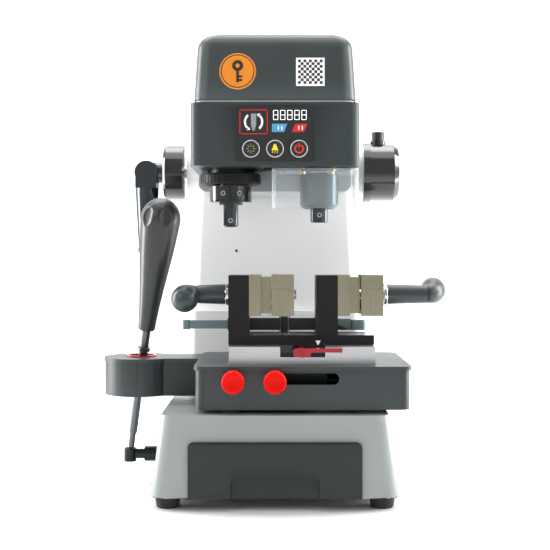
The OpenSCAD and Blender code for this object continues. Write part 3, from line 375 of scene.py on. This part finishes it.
def revolve(bm, profile, place=Matrix(), segments=64, dent=None):
    """Turns (radius, height) points about Z; dent(point, angle) may move each vertex."""
    rings = []
    for radius, height in profile:
        count = 1 if radius < 1e-7 else segments
        ring = []
        for i in range(count):
            a = 2 * math.pi * i / count
            point = Vector((radius * math.cos(a), radius * math.sin(a), height))
            if dent:
                point = dent(point, a)
            ring.append(bm.verts.new(place @ point))
        rings.append(ring)
    for low, high in zip(rings, rings[1:]):
        for i in range(segments):
            j = (i + 1) % segments
            corners = ((low, i), (low, j), (high, j), (high, i))
            unique = list(dict.fromkeys(ring[k % len(ring)] for ring, k in corners))
            if len(unique) > 2:
                bm.faces.new(unique)


def block(bm, low, high, radius=0.0, segments=3):
    """Box between two corners with rounded edges."""
    size = [b - a for a, b in zip(low, high)]
    middle = [(a + b) / 2 for a, b in zip(low, high)]
    place = Matrix.Translation(middle) @ Matrix.Diagonal((*size, 1))
    made = bmesh.ops.create_cube(bm, size=1.0, matrix=place)
    if radius:
        edges = list({edge for vert in made["verts"] for edge in vert.link_edges})
        bmesh.ops.bevel(bm, geom=edges, offset=radius, segments=segments, affect="EDGES",
                        profile=0.5)


def outline_plate(bm, outline, y_front, y_back):
    """Flat shape in the XZ plane, between two depths; outline runs round it."""
    loft(bm, [[bm.verts.new((x, y, z)) for x, z in outline] for y in (y_front, y_back)])


def ring_mark(bm, x, z, outer, inner, y_front, y_back, start=0, end=360, count=48):
    """Flat ring in the XZ plane, or the part of one between two angles in degrees."""
    steps = [math.radians(start + (end - start) * i / count) for i in range(count + 1)]
    closed = end - start >= 360
    if closed:
        steps = steps[:-1]
    quads = []
    for a in steps:
        row = []
        for radius, y in ((outer, y_front), (inner, y_front), (inner, y_back), (outer, y_back)):
            row.append(bm.verts.new((x + radius * math.cos(a), y, z + radius * math.sin(a))))
        quads.append(row)
    pairs = list(zip(quads, quads[1:]))
    if closed:
        pairs.append((quads[-1], quads[0]))
    else:
        bm.faces.new(quads[0])
        bm.faces.new(list(reversed(quads[-1])))
    for one, two in pairs:
        for i in range(4):
            j = (i + 1) % 4
            bm.faces.new((one[i], one[j], two[j], two[i]))


def tube(bm, path, radii, segments):
    """Tube along points, with a radius at each and flat caps."""
    rings = []
    for i, (point, radius) in enumerate(zip(path, radii)):
        before = path[max(0, i - 1)]
        after = path[min(len(path) - 1, i + 1)]
        turn = frame_along(Vector(after) - Vector(before))
        ring = []
        for k in range(segments):
            a = 2 * math.pi * k / segments
            offset = turn @ Vector((radius * math.cos(a), radius * math.sin(a), 0))
            ring.append(bm.verts.new(Vector(point) + offset))
        rings.append(ring)
    loft(bm, rings)


def box_of(node):
    """Low and high corners of a CAD node's box."""
    low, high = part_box(node)
    return Vector(low), Vector(high)


def centre_of(node):
    low, high = box_of(node)
    return (low + high) / 2


# ---------------------------------------------------------------- head

def rounded_rectangle(half_x, half_y, radius):
    """Outline round the origin, with eight steps to each corner."""
    corner_steps = 8
    points = []
    for cx, cy, start in ((1, 1, 0), (-1, 1, 90), (-1, -1, 180), (1, -1, 270)):
        for i in range(corner_steps + 1):
            a = math.radians(start + 90 * i / corner_steps)
            points.append((cx * (half_x - radius) + radius * math.cos(a),
                           cy * (half_y - radius) + radius * math.sin(a)))
    return points


COVER_LEAN = 4.2 * MM       # how far each side leans in over the cover's height
COVER_SEAM = 2.5 * MM       # height of the gasket under the cover
COVER_CROWN = 17 * MM       # radius of the cover's upper edges
COVER_CORNER = 15 * MM      # radius of its upright corners at the foot


def cover_levels(height):
    """Pairs of (rise, inset): a small lip, the leaning sides and the rounded upper edges."""
    straight = height - COVER_CROWN
    lip = 0.6 * MM
    levels = [(0.0, lip), (lip, 0.0)]
    levels += [(straight * t, COVER_LEAN * t * straight / height) for t in (0.25, 0.5, 0.75, 1.0)]
    crown_steps = 8
    for i in range(1, crown_steps + 1):
        a = math.radians(90 * i / crown_steps)
        levels.append((straight + COVER_CROWN * math.sin(a),
                       COVER_LEAN * straight / height + COVER_CROWN * (1 - math.cos(a))))
    return levels


def head_cover():
    """Cover with soft upper edges, lofted from rounded rectangles, and its gasket, coloured pale grey
    as a painted highlight along the seam.
    """
    low, high = box_of("head_cover")
    middle = (low + high) / 2
    foot = low.z + COVER_SEAM
    half_x, half_y = (high.x - low.x) / 2, (high.y - low.y) / 2

    def ring(bm, inset, radius, z):
        outline = rounded_rectangle(half_x - inset, half_y - inset, radius)
        return [bm.verts.new((middle.x + x, middle.y + y, z)) for x, y in outline]

    bm = bmesh.new()
    loft(bm, [ring(bm, inset, max(COVER_CORNER - 0.2 * inset, 4 * MM), foot + rise)
              for rise, inset in cover_levels(high.z - foot)])
    cover = add_piece("head_cover_shell", bm, "dark_paint", "head")
    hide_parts("head_cover")
    bm = bmesh.new()
    # Gasket strip, pale grey as a painted highlight along the seam.
    loft(bm, [ring(bm, 1.5 * MM, 13 * MM, z) for z in (low.z, foot)])
    add_piece("head_seam_highlight_strip", bm, "seam_highlight", "head")


def cover_face():
    """Frame of the cover's leaning front: -Y points out of it and Z runs up it from its foot."""
    low, high = box_of("head_cover")
    foot = low.z + COVER_SEAM
    lean = math.atan(COVER_LEAN / (high.z - foot))
    return Matrix.Translation((0, low.y, foot)) @ Matrix.Rotation(-lean, 4, "X")


def add_to_cover(name, bm, finish):
    """Adds a piece drawn in the cover face's own frame."""
    bm.transform(cover_face())
    return add_piece(name, bm, finish, "head")


def emblem():
    """Round orange emblem with a plain key on it."""
    x, z, r = -36.5 * MM, 28 * MM, 18 * MM
    bm = bmesh.new()
    revolve(bm, [(0, 0), (r - 0.6 * MM, 0), (r, 0.5 * MM), (r, 2 * MM), (0, 2 * MM)],
            Matrix.Translation((x, -0.8 * MM, z)) @ frame_along((0, 1, 0)))
    add_to_cover("emblem_disc", bm, "orange")
    front, back = -1.0 * MM, -0.6 * MM
    bm = bmesh.new()
    ring_mark(bm, x, z, r - 1.6 * MM, r - 2.4 * MM, front, back)
    ring_mark(bm, x, z + 5.5 * MM, 5.4 * MM, 2.2 * MM, front, back)
    block(bm, (x - 1.3 * MM, front, z - 11 * MM), (x + 1.3 * MM, back, z + 0.6 * MM))
    for tooth in (9.8, 6.2):
        foot = z - tooth * MM
        block(bm, (x + 1.0 * MM, front, foot), (x + 4.4 * MM, back, foot + 2.0 * MM))
    add_to_cover("emblem_key", bm, "print_dark")


def label():
    """Small white label with a plain chequer that encodes nothing."""
    x, z, half = 34.5 * MM, 27.5 * MM, 14 * MM
    bm = bmesh.new()
    block(bm, (x - half, -0.5 * MM, z - half), (x + half, 1 * MM, z + half), 0.4 * MM, 2)
    add_to_cover("plain_label", bm, "print_white_glow")
    bm = bmesh.new()
    margin = 2 * MM
    cells = 9
    cell = 2 * (half - margin) / cells
    for i in range(cells):
        for k in range(i % 2, cells, 2):
            left, foot = x - half + margin + i * cell, z - half + margin + k * cell
            block(bm, (left, -0.65 * MM, foot), (left + cell, -0.4 * MM, foot + cell))
    add_to_cover("plain_label_checks", bm, "print_dark")


def digit(bm, x, z, width, height, front, back):
    """One seven-segment eight: three bars across and four upright."""
    t = width * 0.12
    for level in (0, 0.5, 1):
        zc = z + level * (height - t)
        block(bm, (x + t * 0.6, front, zc), (x + width - t * 0.6, back, zc + t))
    for side in (0, 1):
        for level in (0, 1):
            xs = x + side * (width - t)
            zs = z + t * 0.6 + level * (height - t) / 2
            block(bm, (xs, front, zs), (xs + t, back, zs + (height - t) / 2 - t * 0.2))


def panel_graphics():
    """Digits, graphic tile, two slanted tiles and display window on the control panel."""
    low, high = box_of("control_panel")
    front, back = low.y - 0.25 * MM, low.y + 0.2 * MM

    def x_at(t):
        return low.x + (high.x - low.x) * t

    def z_at(t):
        return low.z + (high.z - low.z) * t

    bm = bmesh.new()
    for i in range(5):
        digit(bm, x_at(0.475) + i * 6.9 * MM, z_at(0.745), 5.0 * MM, 9.6 * MM, front, back)
    add_piece("display_digits", bm, "lit_white", "head")
    graphic_tile(x_at(0.035), x_at(0.405), z_at(0.485), z_at(0.935), front, back)
    slanted_tile("blue", x_at(0.46), z_at(0.525), 0, 0.38, front, back)
    slanted_tile("red", x_at(0.72), z_at(0.525), 1, 0.42, front, back)
    bm = bmesh.new()
    block(bm, (x_at(0.45), low.y - 0.1 * MM, z_at(0.72)),
          (x_at(0.965), low.y + 0.3 * MM, z_at(0.95)), 0.08 * MM, 1)
    add_piece("display_window", bm, "display_glass", "head")


def graphic_tile(x0, x1, z0, z1, front, back):
    """Red frame with a cutter symbol and two turning arrows in it."""
    bm = bmesh.new()
    edge = 0.9 * MM
    block(bm, (x0, front, z0), (x1, back, z0 + edge))
    block(bm, (x0, front, z1 - edge), (x1, back, z1))
    block(bm, (x0, front, z0), (x0 + edge, back, z1))
    block(bm, (x1 - edge, front, z0), (x1, back, z1))
    add_piece("tile_frame", bm, "print_red", "head")
    cx, cz = (x0 + x1) / 2, (z0 + z1) / 2
    bm = bmesh.new()
    cutter = [(-2.6, 8), (2.6, 8), (2.6, -2.5), (1, -8.5), (-1, -8.5), (-2.6, -2.5)]
    outline_plate(bm, [(cx + x * MM, cz + z * MM) for x, z in cutter], front, back)
    add_piece("tile_cutter", bm, "print_grey", "head")
    bm = bmesh.new()
    for start in (130, -50):
        ring_mark(bm, cx, cz, 9.4 * MM, 7.4 * MM, front, back, start, start + 95, 16)
        a = math.radians(start + 100)
        arrow = [(6.4, a), (10.4, a), (8.4, a + 0.30)]
        corners = [(cx + r * MM * math.cos(t), cz + r * MM * math.sin(t)) for r, t in arrow]
        outline_plate(bm, corners, front, back)
    add_piece("tile_arrows", bm, "print_white_glow", "head")


def slanted_tile(colour, x, z, slant, bars_at, front, back):
    """Coloured tile with a slanted right side, and left too if slant is 1, and two plain bars."""
    name = "tile_" + colour
    width, height, offset = 15 * MM, 8 * MM, 3.2 * MM
    bm = bmesh.new()
    outline_plate(bm, [(x, z), (x + width - offset, z), (x + width, z + height),
                       (x + offset * slant, z + height)], front, back)
    add_piece(name, bm, "print_" + colour, "head")
    bm = bmesh.new()
    first = x + width * bars_at
    for k in (0, 1):
        left = first + k * 3.4 * MM
        block(bm, (left, front - 0.1 * MM, z + 2 * MM), (left + 1 * MM, back, z + height - 2 * MM))
    add_piece(name + "_mark", bm, "print_white_glow", "head")


def spark(bm, x, z, front, _back):
    """Eight short rays round a point."""
    for i in range(8):
        turn = Matrix.Translation((x, 0, z)) @ Matrix.Rotation(-math.radians(45 * i), 4, "Y")
        ray = Matrix.Diagonal((2.2 * MM, 0.5 * MM, 0.5 * MM, 1))
        place = turn @ Matrix.Translation((3.4 * MM, front, 0)) @ ray
        bmesh.ops.create_cube(bm, size=1.0, matrix=place)


def lamp(bm, x, z, front, back):
    """Lamp shade with three rays under it."""
    shade_outline = [(-3.4, -1.6), (3.4, -1.6), (1.9, 1.6), (1.2, 4.4), (-1.2, 4.4), (-1.9, 1.6)]
    outline_plate(bm, [(x + dx * MM, z + dz * MM) for dx, dz in shade_outline], front, back)
    for k in (-1, 0, 1):
        block(bm, (x + (k * 2.4 - 0.4) * MM, front, z - 4.2 * MM),
              (x + (k * 2.4 + 0.4) * MM, back, z - 2.4 * MM))


def power_symbol(bm, x, z, front, back):
    """Ring open at the top, with an upright bar in the gap."""
    ring_mark(bm, x, z, 4.6 * MM, 3.3 * MM, front, back, 120, 420, 32)
    block(bm, (x - 0.6 * MM, front, z + 1.2 * MM), (x + 0.6 * MM, back, z + 5.4 * MM))


def button_graphics():
    """White ring on each button, with a laser spark, a lamp and a power symbol."""
    marks = (("left", spark, "print_gold"), ("middle", lamp, "print_yellow_glow"),
             ("right", power_symbol, "print_red_glow"))
    for name, draw, finish in marks:
        body = "button_" + name
        low, high = box_of(body)
        x, z, r = (low.x + high.x) / 2, (low.z + high.z) / 2, (high.x - low.x) / 2
        front, back = low.y - 0.2 * MM, low.y + 0.3 * MM
        bm = bmesh.new()
        ring_mark(bm, x, z, r - 0.1 * MM, r - 1.2 * MM, front + 0.2 * MM, back)
        add_piece("button_ring_" + name, bm, "print_white_glow", body)
        bm = bmesh.new()
        draw(bm, x, z, front, back)
        add_piece("button_mark_" + name, bm, finish, body)


def under_head_lamps():
    """Small lamp and laser modules beside the guard."""
    floor = box_of("head_housing")[0].z
    modules = (("lamp_module", -7 * MM, -92 * MM, 4.2 * MM),
               ("laser_module", 8 * MM, -60 * MM, 3 * MM))
    drop, lip = 4 * MM, 0.8 * MM
    for name, x, y, r in modules:
        bm = bmesh.new()
        revolve(bm, [(0, 0), (r * 0.6, 0), (r * 0.7, lip), (r, lip), (r, drop), (0, drop)],
                Matrix.Translation((x, y, floor - drop)), 32)
        add_piece(name, bm, "gloss_black", "head")


# ---------------------------------------------------------------- handles

# The joystick's lean at rest in degrees, to the right and then to the front, as in the CAD.
LEAN_RIGHT, LEAN_FRONT = 8.5, 10

# Pear grip, along the joystick from its pivot.
GRIP_FOOT, GRIP_LENGTH = 43 * MM, 140 * MM
GRIP_STEM, GRIP_BELLY, GRIP_CROWN = 9 * MM, 20.5 * MM, 22 * MM
GRIP_RISE = GRIP_LENGTH - GRIP_CROWN        # height of the widest ring above the foot


def joystick_frame():
    """Frame at the gimbal's centre, with Z along the leaning joystick."""
    right = Matrix.Rotation(math.radians(LEAN_RIGHT), 4, "Y")
    front = Matrix.Rotation(math.radians(LEAN_FRONT), 4, "X")
    return Matrix.Translation(centre_of("gimbal_ring")) @ (right @ front)


def pear_profile():
    """Outline of the grip: a hollow foot, a swelling side and a round top."""
    lip = GRIP_FOOT + 2 * MM
    bore_end = GRIP_FOOT + 9.5 * MM
    profile = [(0, bore_end), (4.9 * MM, bore_end), (4.9 * MM, GRIP_FOOT), (7.6 * MM, GRIP_FOOT),
               (8.6 * MM, GRIP_FOOT + 0.6 * MM), (GRIP_STEM, lip)]
    side_steps, top_steps = 24, 18
    for i in range(1, side_steps + 1):
        t = i / side_steps
        swell = 0.55 * t + 0.45 * (1 - math.cos(math.pi * t)) / 2
        profile.append((GRIP_STEM + (GRIP_BELLY - GRIP_STEM) * swell,
                        lip + (GRIP_RISE - 2 * MM) * t))
    for i in range(1, top_steps + 1):
        a = math.radians(90 * i / top_steps)
        profile.append((GRIP_BELLY * math.cos(a), GRIP_FOOT + GRIP_RISE + GRIP_CROWN * math.sin(a)))
    return profile


def with_finer_top(profile):
    """Adds three points to each upward step of the part of the profile that the dimples press."""
    fine = []
    for one, two in zip(profile, profile[1:]):
        fine.append(one)
        if one[1] > GRIP_FOOT + GRIP_RISE * 0.6 and two[1] > one[1]:
            for t in (0.25, 0.5, 0.75):
                fine.append((one[0] + (two[0] - one[0]) * t, one[1] + (two[1] - one[1]) * t))
    fine.append(profile[-1])
    return fine


def pear_grip():
    """Grey pear grip with two shallow thumb dimples facing the operator."""
    place = joystick_frame()
    to_local = place.inverted().to_3x3()
    facing = (to_local @ Vector((0, -1, 0))).normalized()
    side = (to_local @ Vector((1, 0, 0))).normalized()
    dimples = []
    for turn in (-38, 20):
        a = math.radians(turn)
        aim = facing * math.cos(a) + side * math.sin(a)
        dimples.append(aim * GRIP_BELLY + Vector((0, 0, GRIP_FOOT + GRIP_RISE + 3 * MM)))
    half_width, half_height, depth = 6.2 * MM, 10.5 * MM, 2.1 * MM

    def press(point, _angle):
        for dimple in dimples:
            gap = point - dimple
            t = math.hypot(math.hypot(gap.x, gap.y) / half_width, gap.z / half_height)
            if t < 1:
                inward = Vector((dimple.x, dimple.y, 0)).normalized()
                point = point - inward * depth * (1 - t * t) ** 0.7
        return point

    bm = bmesh.new()
    revolve(bm, with_finer_top(pear_profile()), place, 160, press)
    made = add_piece("pear_grip", bm, "grip_grey", "joystick")
    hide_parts("joystick_grip")


def set_screw_glints():
    """Bright steel rings at the socket screws in the tracer's shank and collar and in the spindle's
    nose: the screws are real, the rings' brightness a painted glint.
    """
    # Name, node, body, then in mm: across from its centre, up from its foot, and out to the front
    # from the spindle's axis.
    marks = [("shank_screw_glint", "tracer_shaft", "tracer", 0, 6.3, 7.6),
             ("collar_screw_left_glint", "tracer_shaft", "tracer", -7, 33.4, 20.2),
             ("collar_screw_right_glint", "tracer_shaft", "tracer", 9.5, 33.4, 19.2),
             ("nose_screw_glint", "spindle_shaft", "spindle", 0, 7.5, 8.9)]
    axis_y = centre_of("spindle_shaft").y
    outer, inner = 2.5 * MM, 1.25 * MM
    for name, node, body, across, up, out in marks:
        x, foot = centre_of(node).x, box_of(node)[0].z
        y = axis_y - out * MM
        bm = bmesh.new()
        # Each ring is a painted glint on its screw's rim.
        ring_mark(bm, x + across * MM, foot + up * MM, outer, inner, y - 0.3 * MM, y + 1.8 * MM)
        add_piece(name, bm, "bright_steel", body)


# Red knobs: radius and height of their outline in mm, from the back face to the dished front.
KNOB_OUTLINE = [(0, 0), (7.4, 0), (8, 0.6), (8, 4), (10, 4.2), (11, 5.4), (11, 13.4), (10.5, 15.6),
                (9.2, 16.8), (7.6, 17), (6.2, 16.2), (4.4, 15.2), (2.2, 14.7), (0, 14.6)]
KNOB_DEPTH = 17 * MM


def lock_knob(node, body, stud):
    """Red thumb knob with shallow flutes and a dished front, with its own stud if stud is set."""
    low, high = box_of(node)
    middle = (low + high) / 2
    place = Matrix.Translation((middle.x, low.y + KNOB_DEPTH, middle.z)) @ frame_along((0, -1, 0))
    flutes, flute_depth = 18, 0.025

    def flute(point, angle):
        depth = flute_depth * (0.5 + 0.5 * math.cos(flutes * angle))
        return Vector((point.x * (1 - depth), point.y * (1 - depth), point.z))

    bm = bmesh.new()
    revolve(bm, [(r * MM, z * MM) for r, z in KNOB_OUTLINE], place, 144, flute)
    knob = add_piece(node + "_cap", bm, "red_gloss", body)
    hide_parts(node)
    if stud:
        bm = bmesh.new()
        length = high.y - low.y - KNOB_DEPTH
        r, chamfer = 3 * MM, 0.6 * MM
        revolve(bm, [(0, -length), (r - chamfer, -length), (r, chamfer - length), (r, 0), (0, 0)],
                place, 32)
        add_piece(node + "_stud", bm, "bright_steel", body)


CLAMP_Y, CLAMP_Z = -68 * MM, 202 * MM       # axis of both clamp screws


def clamp_handle(name, node, side, collar, hub, path, radii):
    """Clamp screw with its collar, tapered hub and egg-shaped end.

    side is -1 left, 1 right. collar is the x of the collar's inner face and hub the hub's length.
    """
    body = BODY_OF[node]
    low, high = box_of(node)
    inner = high.x if side < 0 else low.x
    place = Matrix.Translation((collar, CLAMP_Y, CLAMP_Z)) @ frame_along((side, 0, 0))
    bm = bmesh.new()
    length = abs(collar - inner)
    revolve(bm, [(0, -length), (4.2 * MM, -length), (5 * MM, 0.8 * MM - length), (5 * MM, 0),
                 (10.4 * MM, 0), (11 * MM, 0.6 * MM), (11 * MM, 3 * MM), (10.4 * MM, 3.6 * MM),
                 (0, 3.6 * MM)], place, 48)
    rod = add_piece(name + "_screw", bm, "bright_steel", body)
    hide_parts(node)
    bm = bmesh.new()
    foot = 3.7 * MM
    revolve(bm, [(0, foot), (9.6 * MM, foot), (10.2 * MM, foot + 0.7 * MM), (9.1 * MM, foot + hub),
                 (0, foot + hub)], place, 64)
    add_piece(name + "_hub", bm, "teal_black", body)
    bm = bmesh.new()
    start = Vector((collar + side * (foot + hub - 3 * MM), CLAMP_Y, CLAMP_Z))
    points = [start + Vector((side * x, y, z)) * MM for x, y, z in path]
    tube(bm, points, [r * MM for r in radii], 40)
    egg = add_piece(name + "_end", bm, "teal_black", body)
    rounding = egg.modifiers.new("smooth", "SUBSURF")
    rounding.levels = 2
    rounding.render_levels = 2


def clamp_handles():
    """The two handles; each path leaves the hub and bends to the front or to the back."""
    clamp_handle("clamp_left", "clamp_handle_left", -1, -46.9 * MM, 31 * MM,
                 [(0, 0, 0), (5, -1, 0), (9, -5, -0.8), (11, -12, -2.2), (12, -20, -3.6),
                  (12, -28, -4.6), (12, -34, -5), (12, -37, -5.3)],
                 [8.6, 9.6, 11.4, 13.4, 14.0, 13.2, 9.3, 3])
    clamp_handle("clamp_right", "clamp_handle_right", 1, 110.6 * MM, 41 * MM,
                 [(0, 0, 0), (5, 1, 0.2), (9, 5, 1), (11, 12, 2.4), (12, 20, 4), (12, 27, 5.4),
                  (12, 32, 6.4), (12, 35, 7)],
                 [8.6, 9.6, 10.8, 12.4, 13.0, 12.2, 8.5, 3])


# ---------------------------------------------------------------- CAD nodes in more than one finish

def patch(node, finish, test):
    """Gives the faces of a CAD node whose middle passes a test another finish."""
    mesh = NODES[node].data
    index = len(mesh.materials)
    mesh.materials.append(MAT[finish])
    for polygon in mesh.polygons:
        if test(polygon.center / MM):
            polygon.material_index = index


def patches():
    """Second finishes, each found by where a face's middle lies in mm."""
    patch("spindle_guard", "brass",
          lambda p: any(math.hypot(p.x - screw_x, p.y + 104) < 3.6 for screw_x in (27, 55)))
    patch("spindle_shaft", "black_steel", lambda p: p.z > 360)
    patch("tracer_shaft", "gloss_black", lambda p: 295 < p.z < 312)
    patch("base_casting", "sheet_paint", lambda p: p.z < 12.4)
    # Only the table lever's ends get teal grey; its middle stays satin black as painted shade under
    # the jaws.
    patch("table_lever", "teal_grey", lambda p: abs(p.x) > 50)
    # The cam lever's pocket in the rail's front is gloss black as painted shade in the recess.
    patch("vice_rail", "gloss_black",
          lambda p: 4.5 < p.x < 49.5 and -118.5 < p.y < -95.5 and 142 < p.z < 152.3)
    patch("vice_plate", "bright_steel", lambda p: p.z > 161.9)
    patch("vice_uprights", "bright_steel", lambda p: abs(p.y + 84) < 3.6 and p.z < 160)


def index_mark():
    """Small white triangle on the front of the vice plate."""
    low, high = box_of("vice_plate")
    x, z = 43 * MM, (low.z + high.z) / 2
    half, top, tip = 2.6 * MM, 2.4 * MM, 2.6 * MM
    bm = bmesh.new()
    outline_plate(bm, [(x - half, z + top), (x + half, z + top), (x, z - tip)],
                  low.y - 0.15 * MM, low.y + 0.1 * MM)
    add_piece("index_mark", bm, "print_white_glow", "vice", smooth=False)


head_cover()
emblem()
label()
panel_graphics()
button_graphics()
under_head_lamps()
pear_grip()
clamp_handles()
set_screw_glints()
lock_knob("lock_knob_right", BODY_OF["lock_knob_right"], False)
lock_knob("lock_knob_left", BODY_OF["lock_knob_left"], True)
patches()
index_mark()


# ---------------------------------------------------------------- stage, light and camera

def backdrop():
    """Pale floor that curves up into a wall behind the machine."""
    mesh = bpy.data.meshes.new("floor_sweep")
    bm = bmesh.new()
    bend_start, bend = 1.2, 0.8
    bend_steps = 12
    profile = [(-3.0, 0.0), (bend_start, 0.0)]
    for i in range(1, bend_steps + 1):
        a = math.radians(90 * i / bend_steps)
        profile.append((bend_start + bend * math.sin(a), bend * (1 - math.cos(a))))
    profile.append((2.0, 4.0))
    rows = [[bm.verts.new((x, y, z)) for x in (-4, 4)] for y, z in profile]
    for low, high in zip(rows, rows[1:]):
        bm.faces.new((low[0], low[1], high[1], high[0]))
    bm.to_mesh(mesh)
    bm.free()
    sweep = bpy.data.objects.new("floor_sweep", mesh)
    bpy.context.collection.objects.link(sweep)
    shade_smooth(mesh)
    g = Graph("floor_paper")
    paper = g.ramp(g.noise(3), (0.86, 0.86, 0.86, 1), (0.90, 0.90, 0.90, 1))
    g.link(paper, g.shader.inputs["Base Color"])
    g.shader.inputs["Roughness"].default_value = 0.8
    mesh.materials.append(g.mat)


def soft_light(name, place, target, size, power, height=None):
    """Rectangular area light aimed at a point; square unless a height is given."""
    data = bpy.data.lights.new(name, "AREA")
    data.shape = "RECTANGLE"
    data.size = size
    data.size_y = height or size
    data.energy = power
    light = bpy.data.objects.new(name, data)
    light.location = place
    light.rotation_euler = (Vector(target) - Vector(place)).to_track_quat("-Z", "Y").to_euler()
    bpy.context.collection.objects.link(light)


def lights():
    """Soft box on each side, light from above, a strip for each flank and a wash on the wall."""
    middle = (0, 0, 0.22)
    soft_light("key_left", (-1.1, -1.3, 1.1), middle, 0.9, 5.5)
    soft_light("fill_right", (1.3, -0.9, 0.8), middle, 0.9, 4.5)
    soft_light("top", (0, -0.1, 1.7), middle, 1.4, 12)
    soft_light("strip_left", (-0.9, 0.1, 0.4), middle, 0.35, 13, 1.0)
    soft_light("strip_right", (0.9, 0.1, 0.4), middle, 0.35, 13, 1.0)
    soft_light("wall_wash", (0, 0.9, 1.9), (0, 1.9, 0.7), 2.2, 60)
    world = bpy.data.worlds.new("studio")
    world.use_nodes = True
    world.node_tree.nodes["Background"].inputs["Color"].default_value = (1, 1, 1, 1)
    world.node_tree.nodes["Background"].inputs["Strength"].default_value = 0.45
    bpy.context.scene.world = world
    bpy.context.scene.view_settings.view_transform = "Standard"


def camera():
    """Level view from the front, at the height of the vice's jaws."""
    data = bpy.data.cameras.new("camera")
    data.sensor_width = 36
    data.lens = 70.6
    data.shift_y = -0.0345
    view = bpy.data.objects.new("camera", data)
    view.location = (0, -1.17, 0.241)
    view.rotation_euler = (math.radians(90), 0, 0)
    bpy.context.collection.objects.link(view)
    bpy.context.scene.camera = view


camera()
lights()
backdrop()
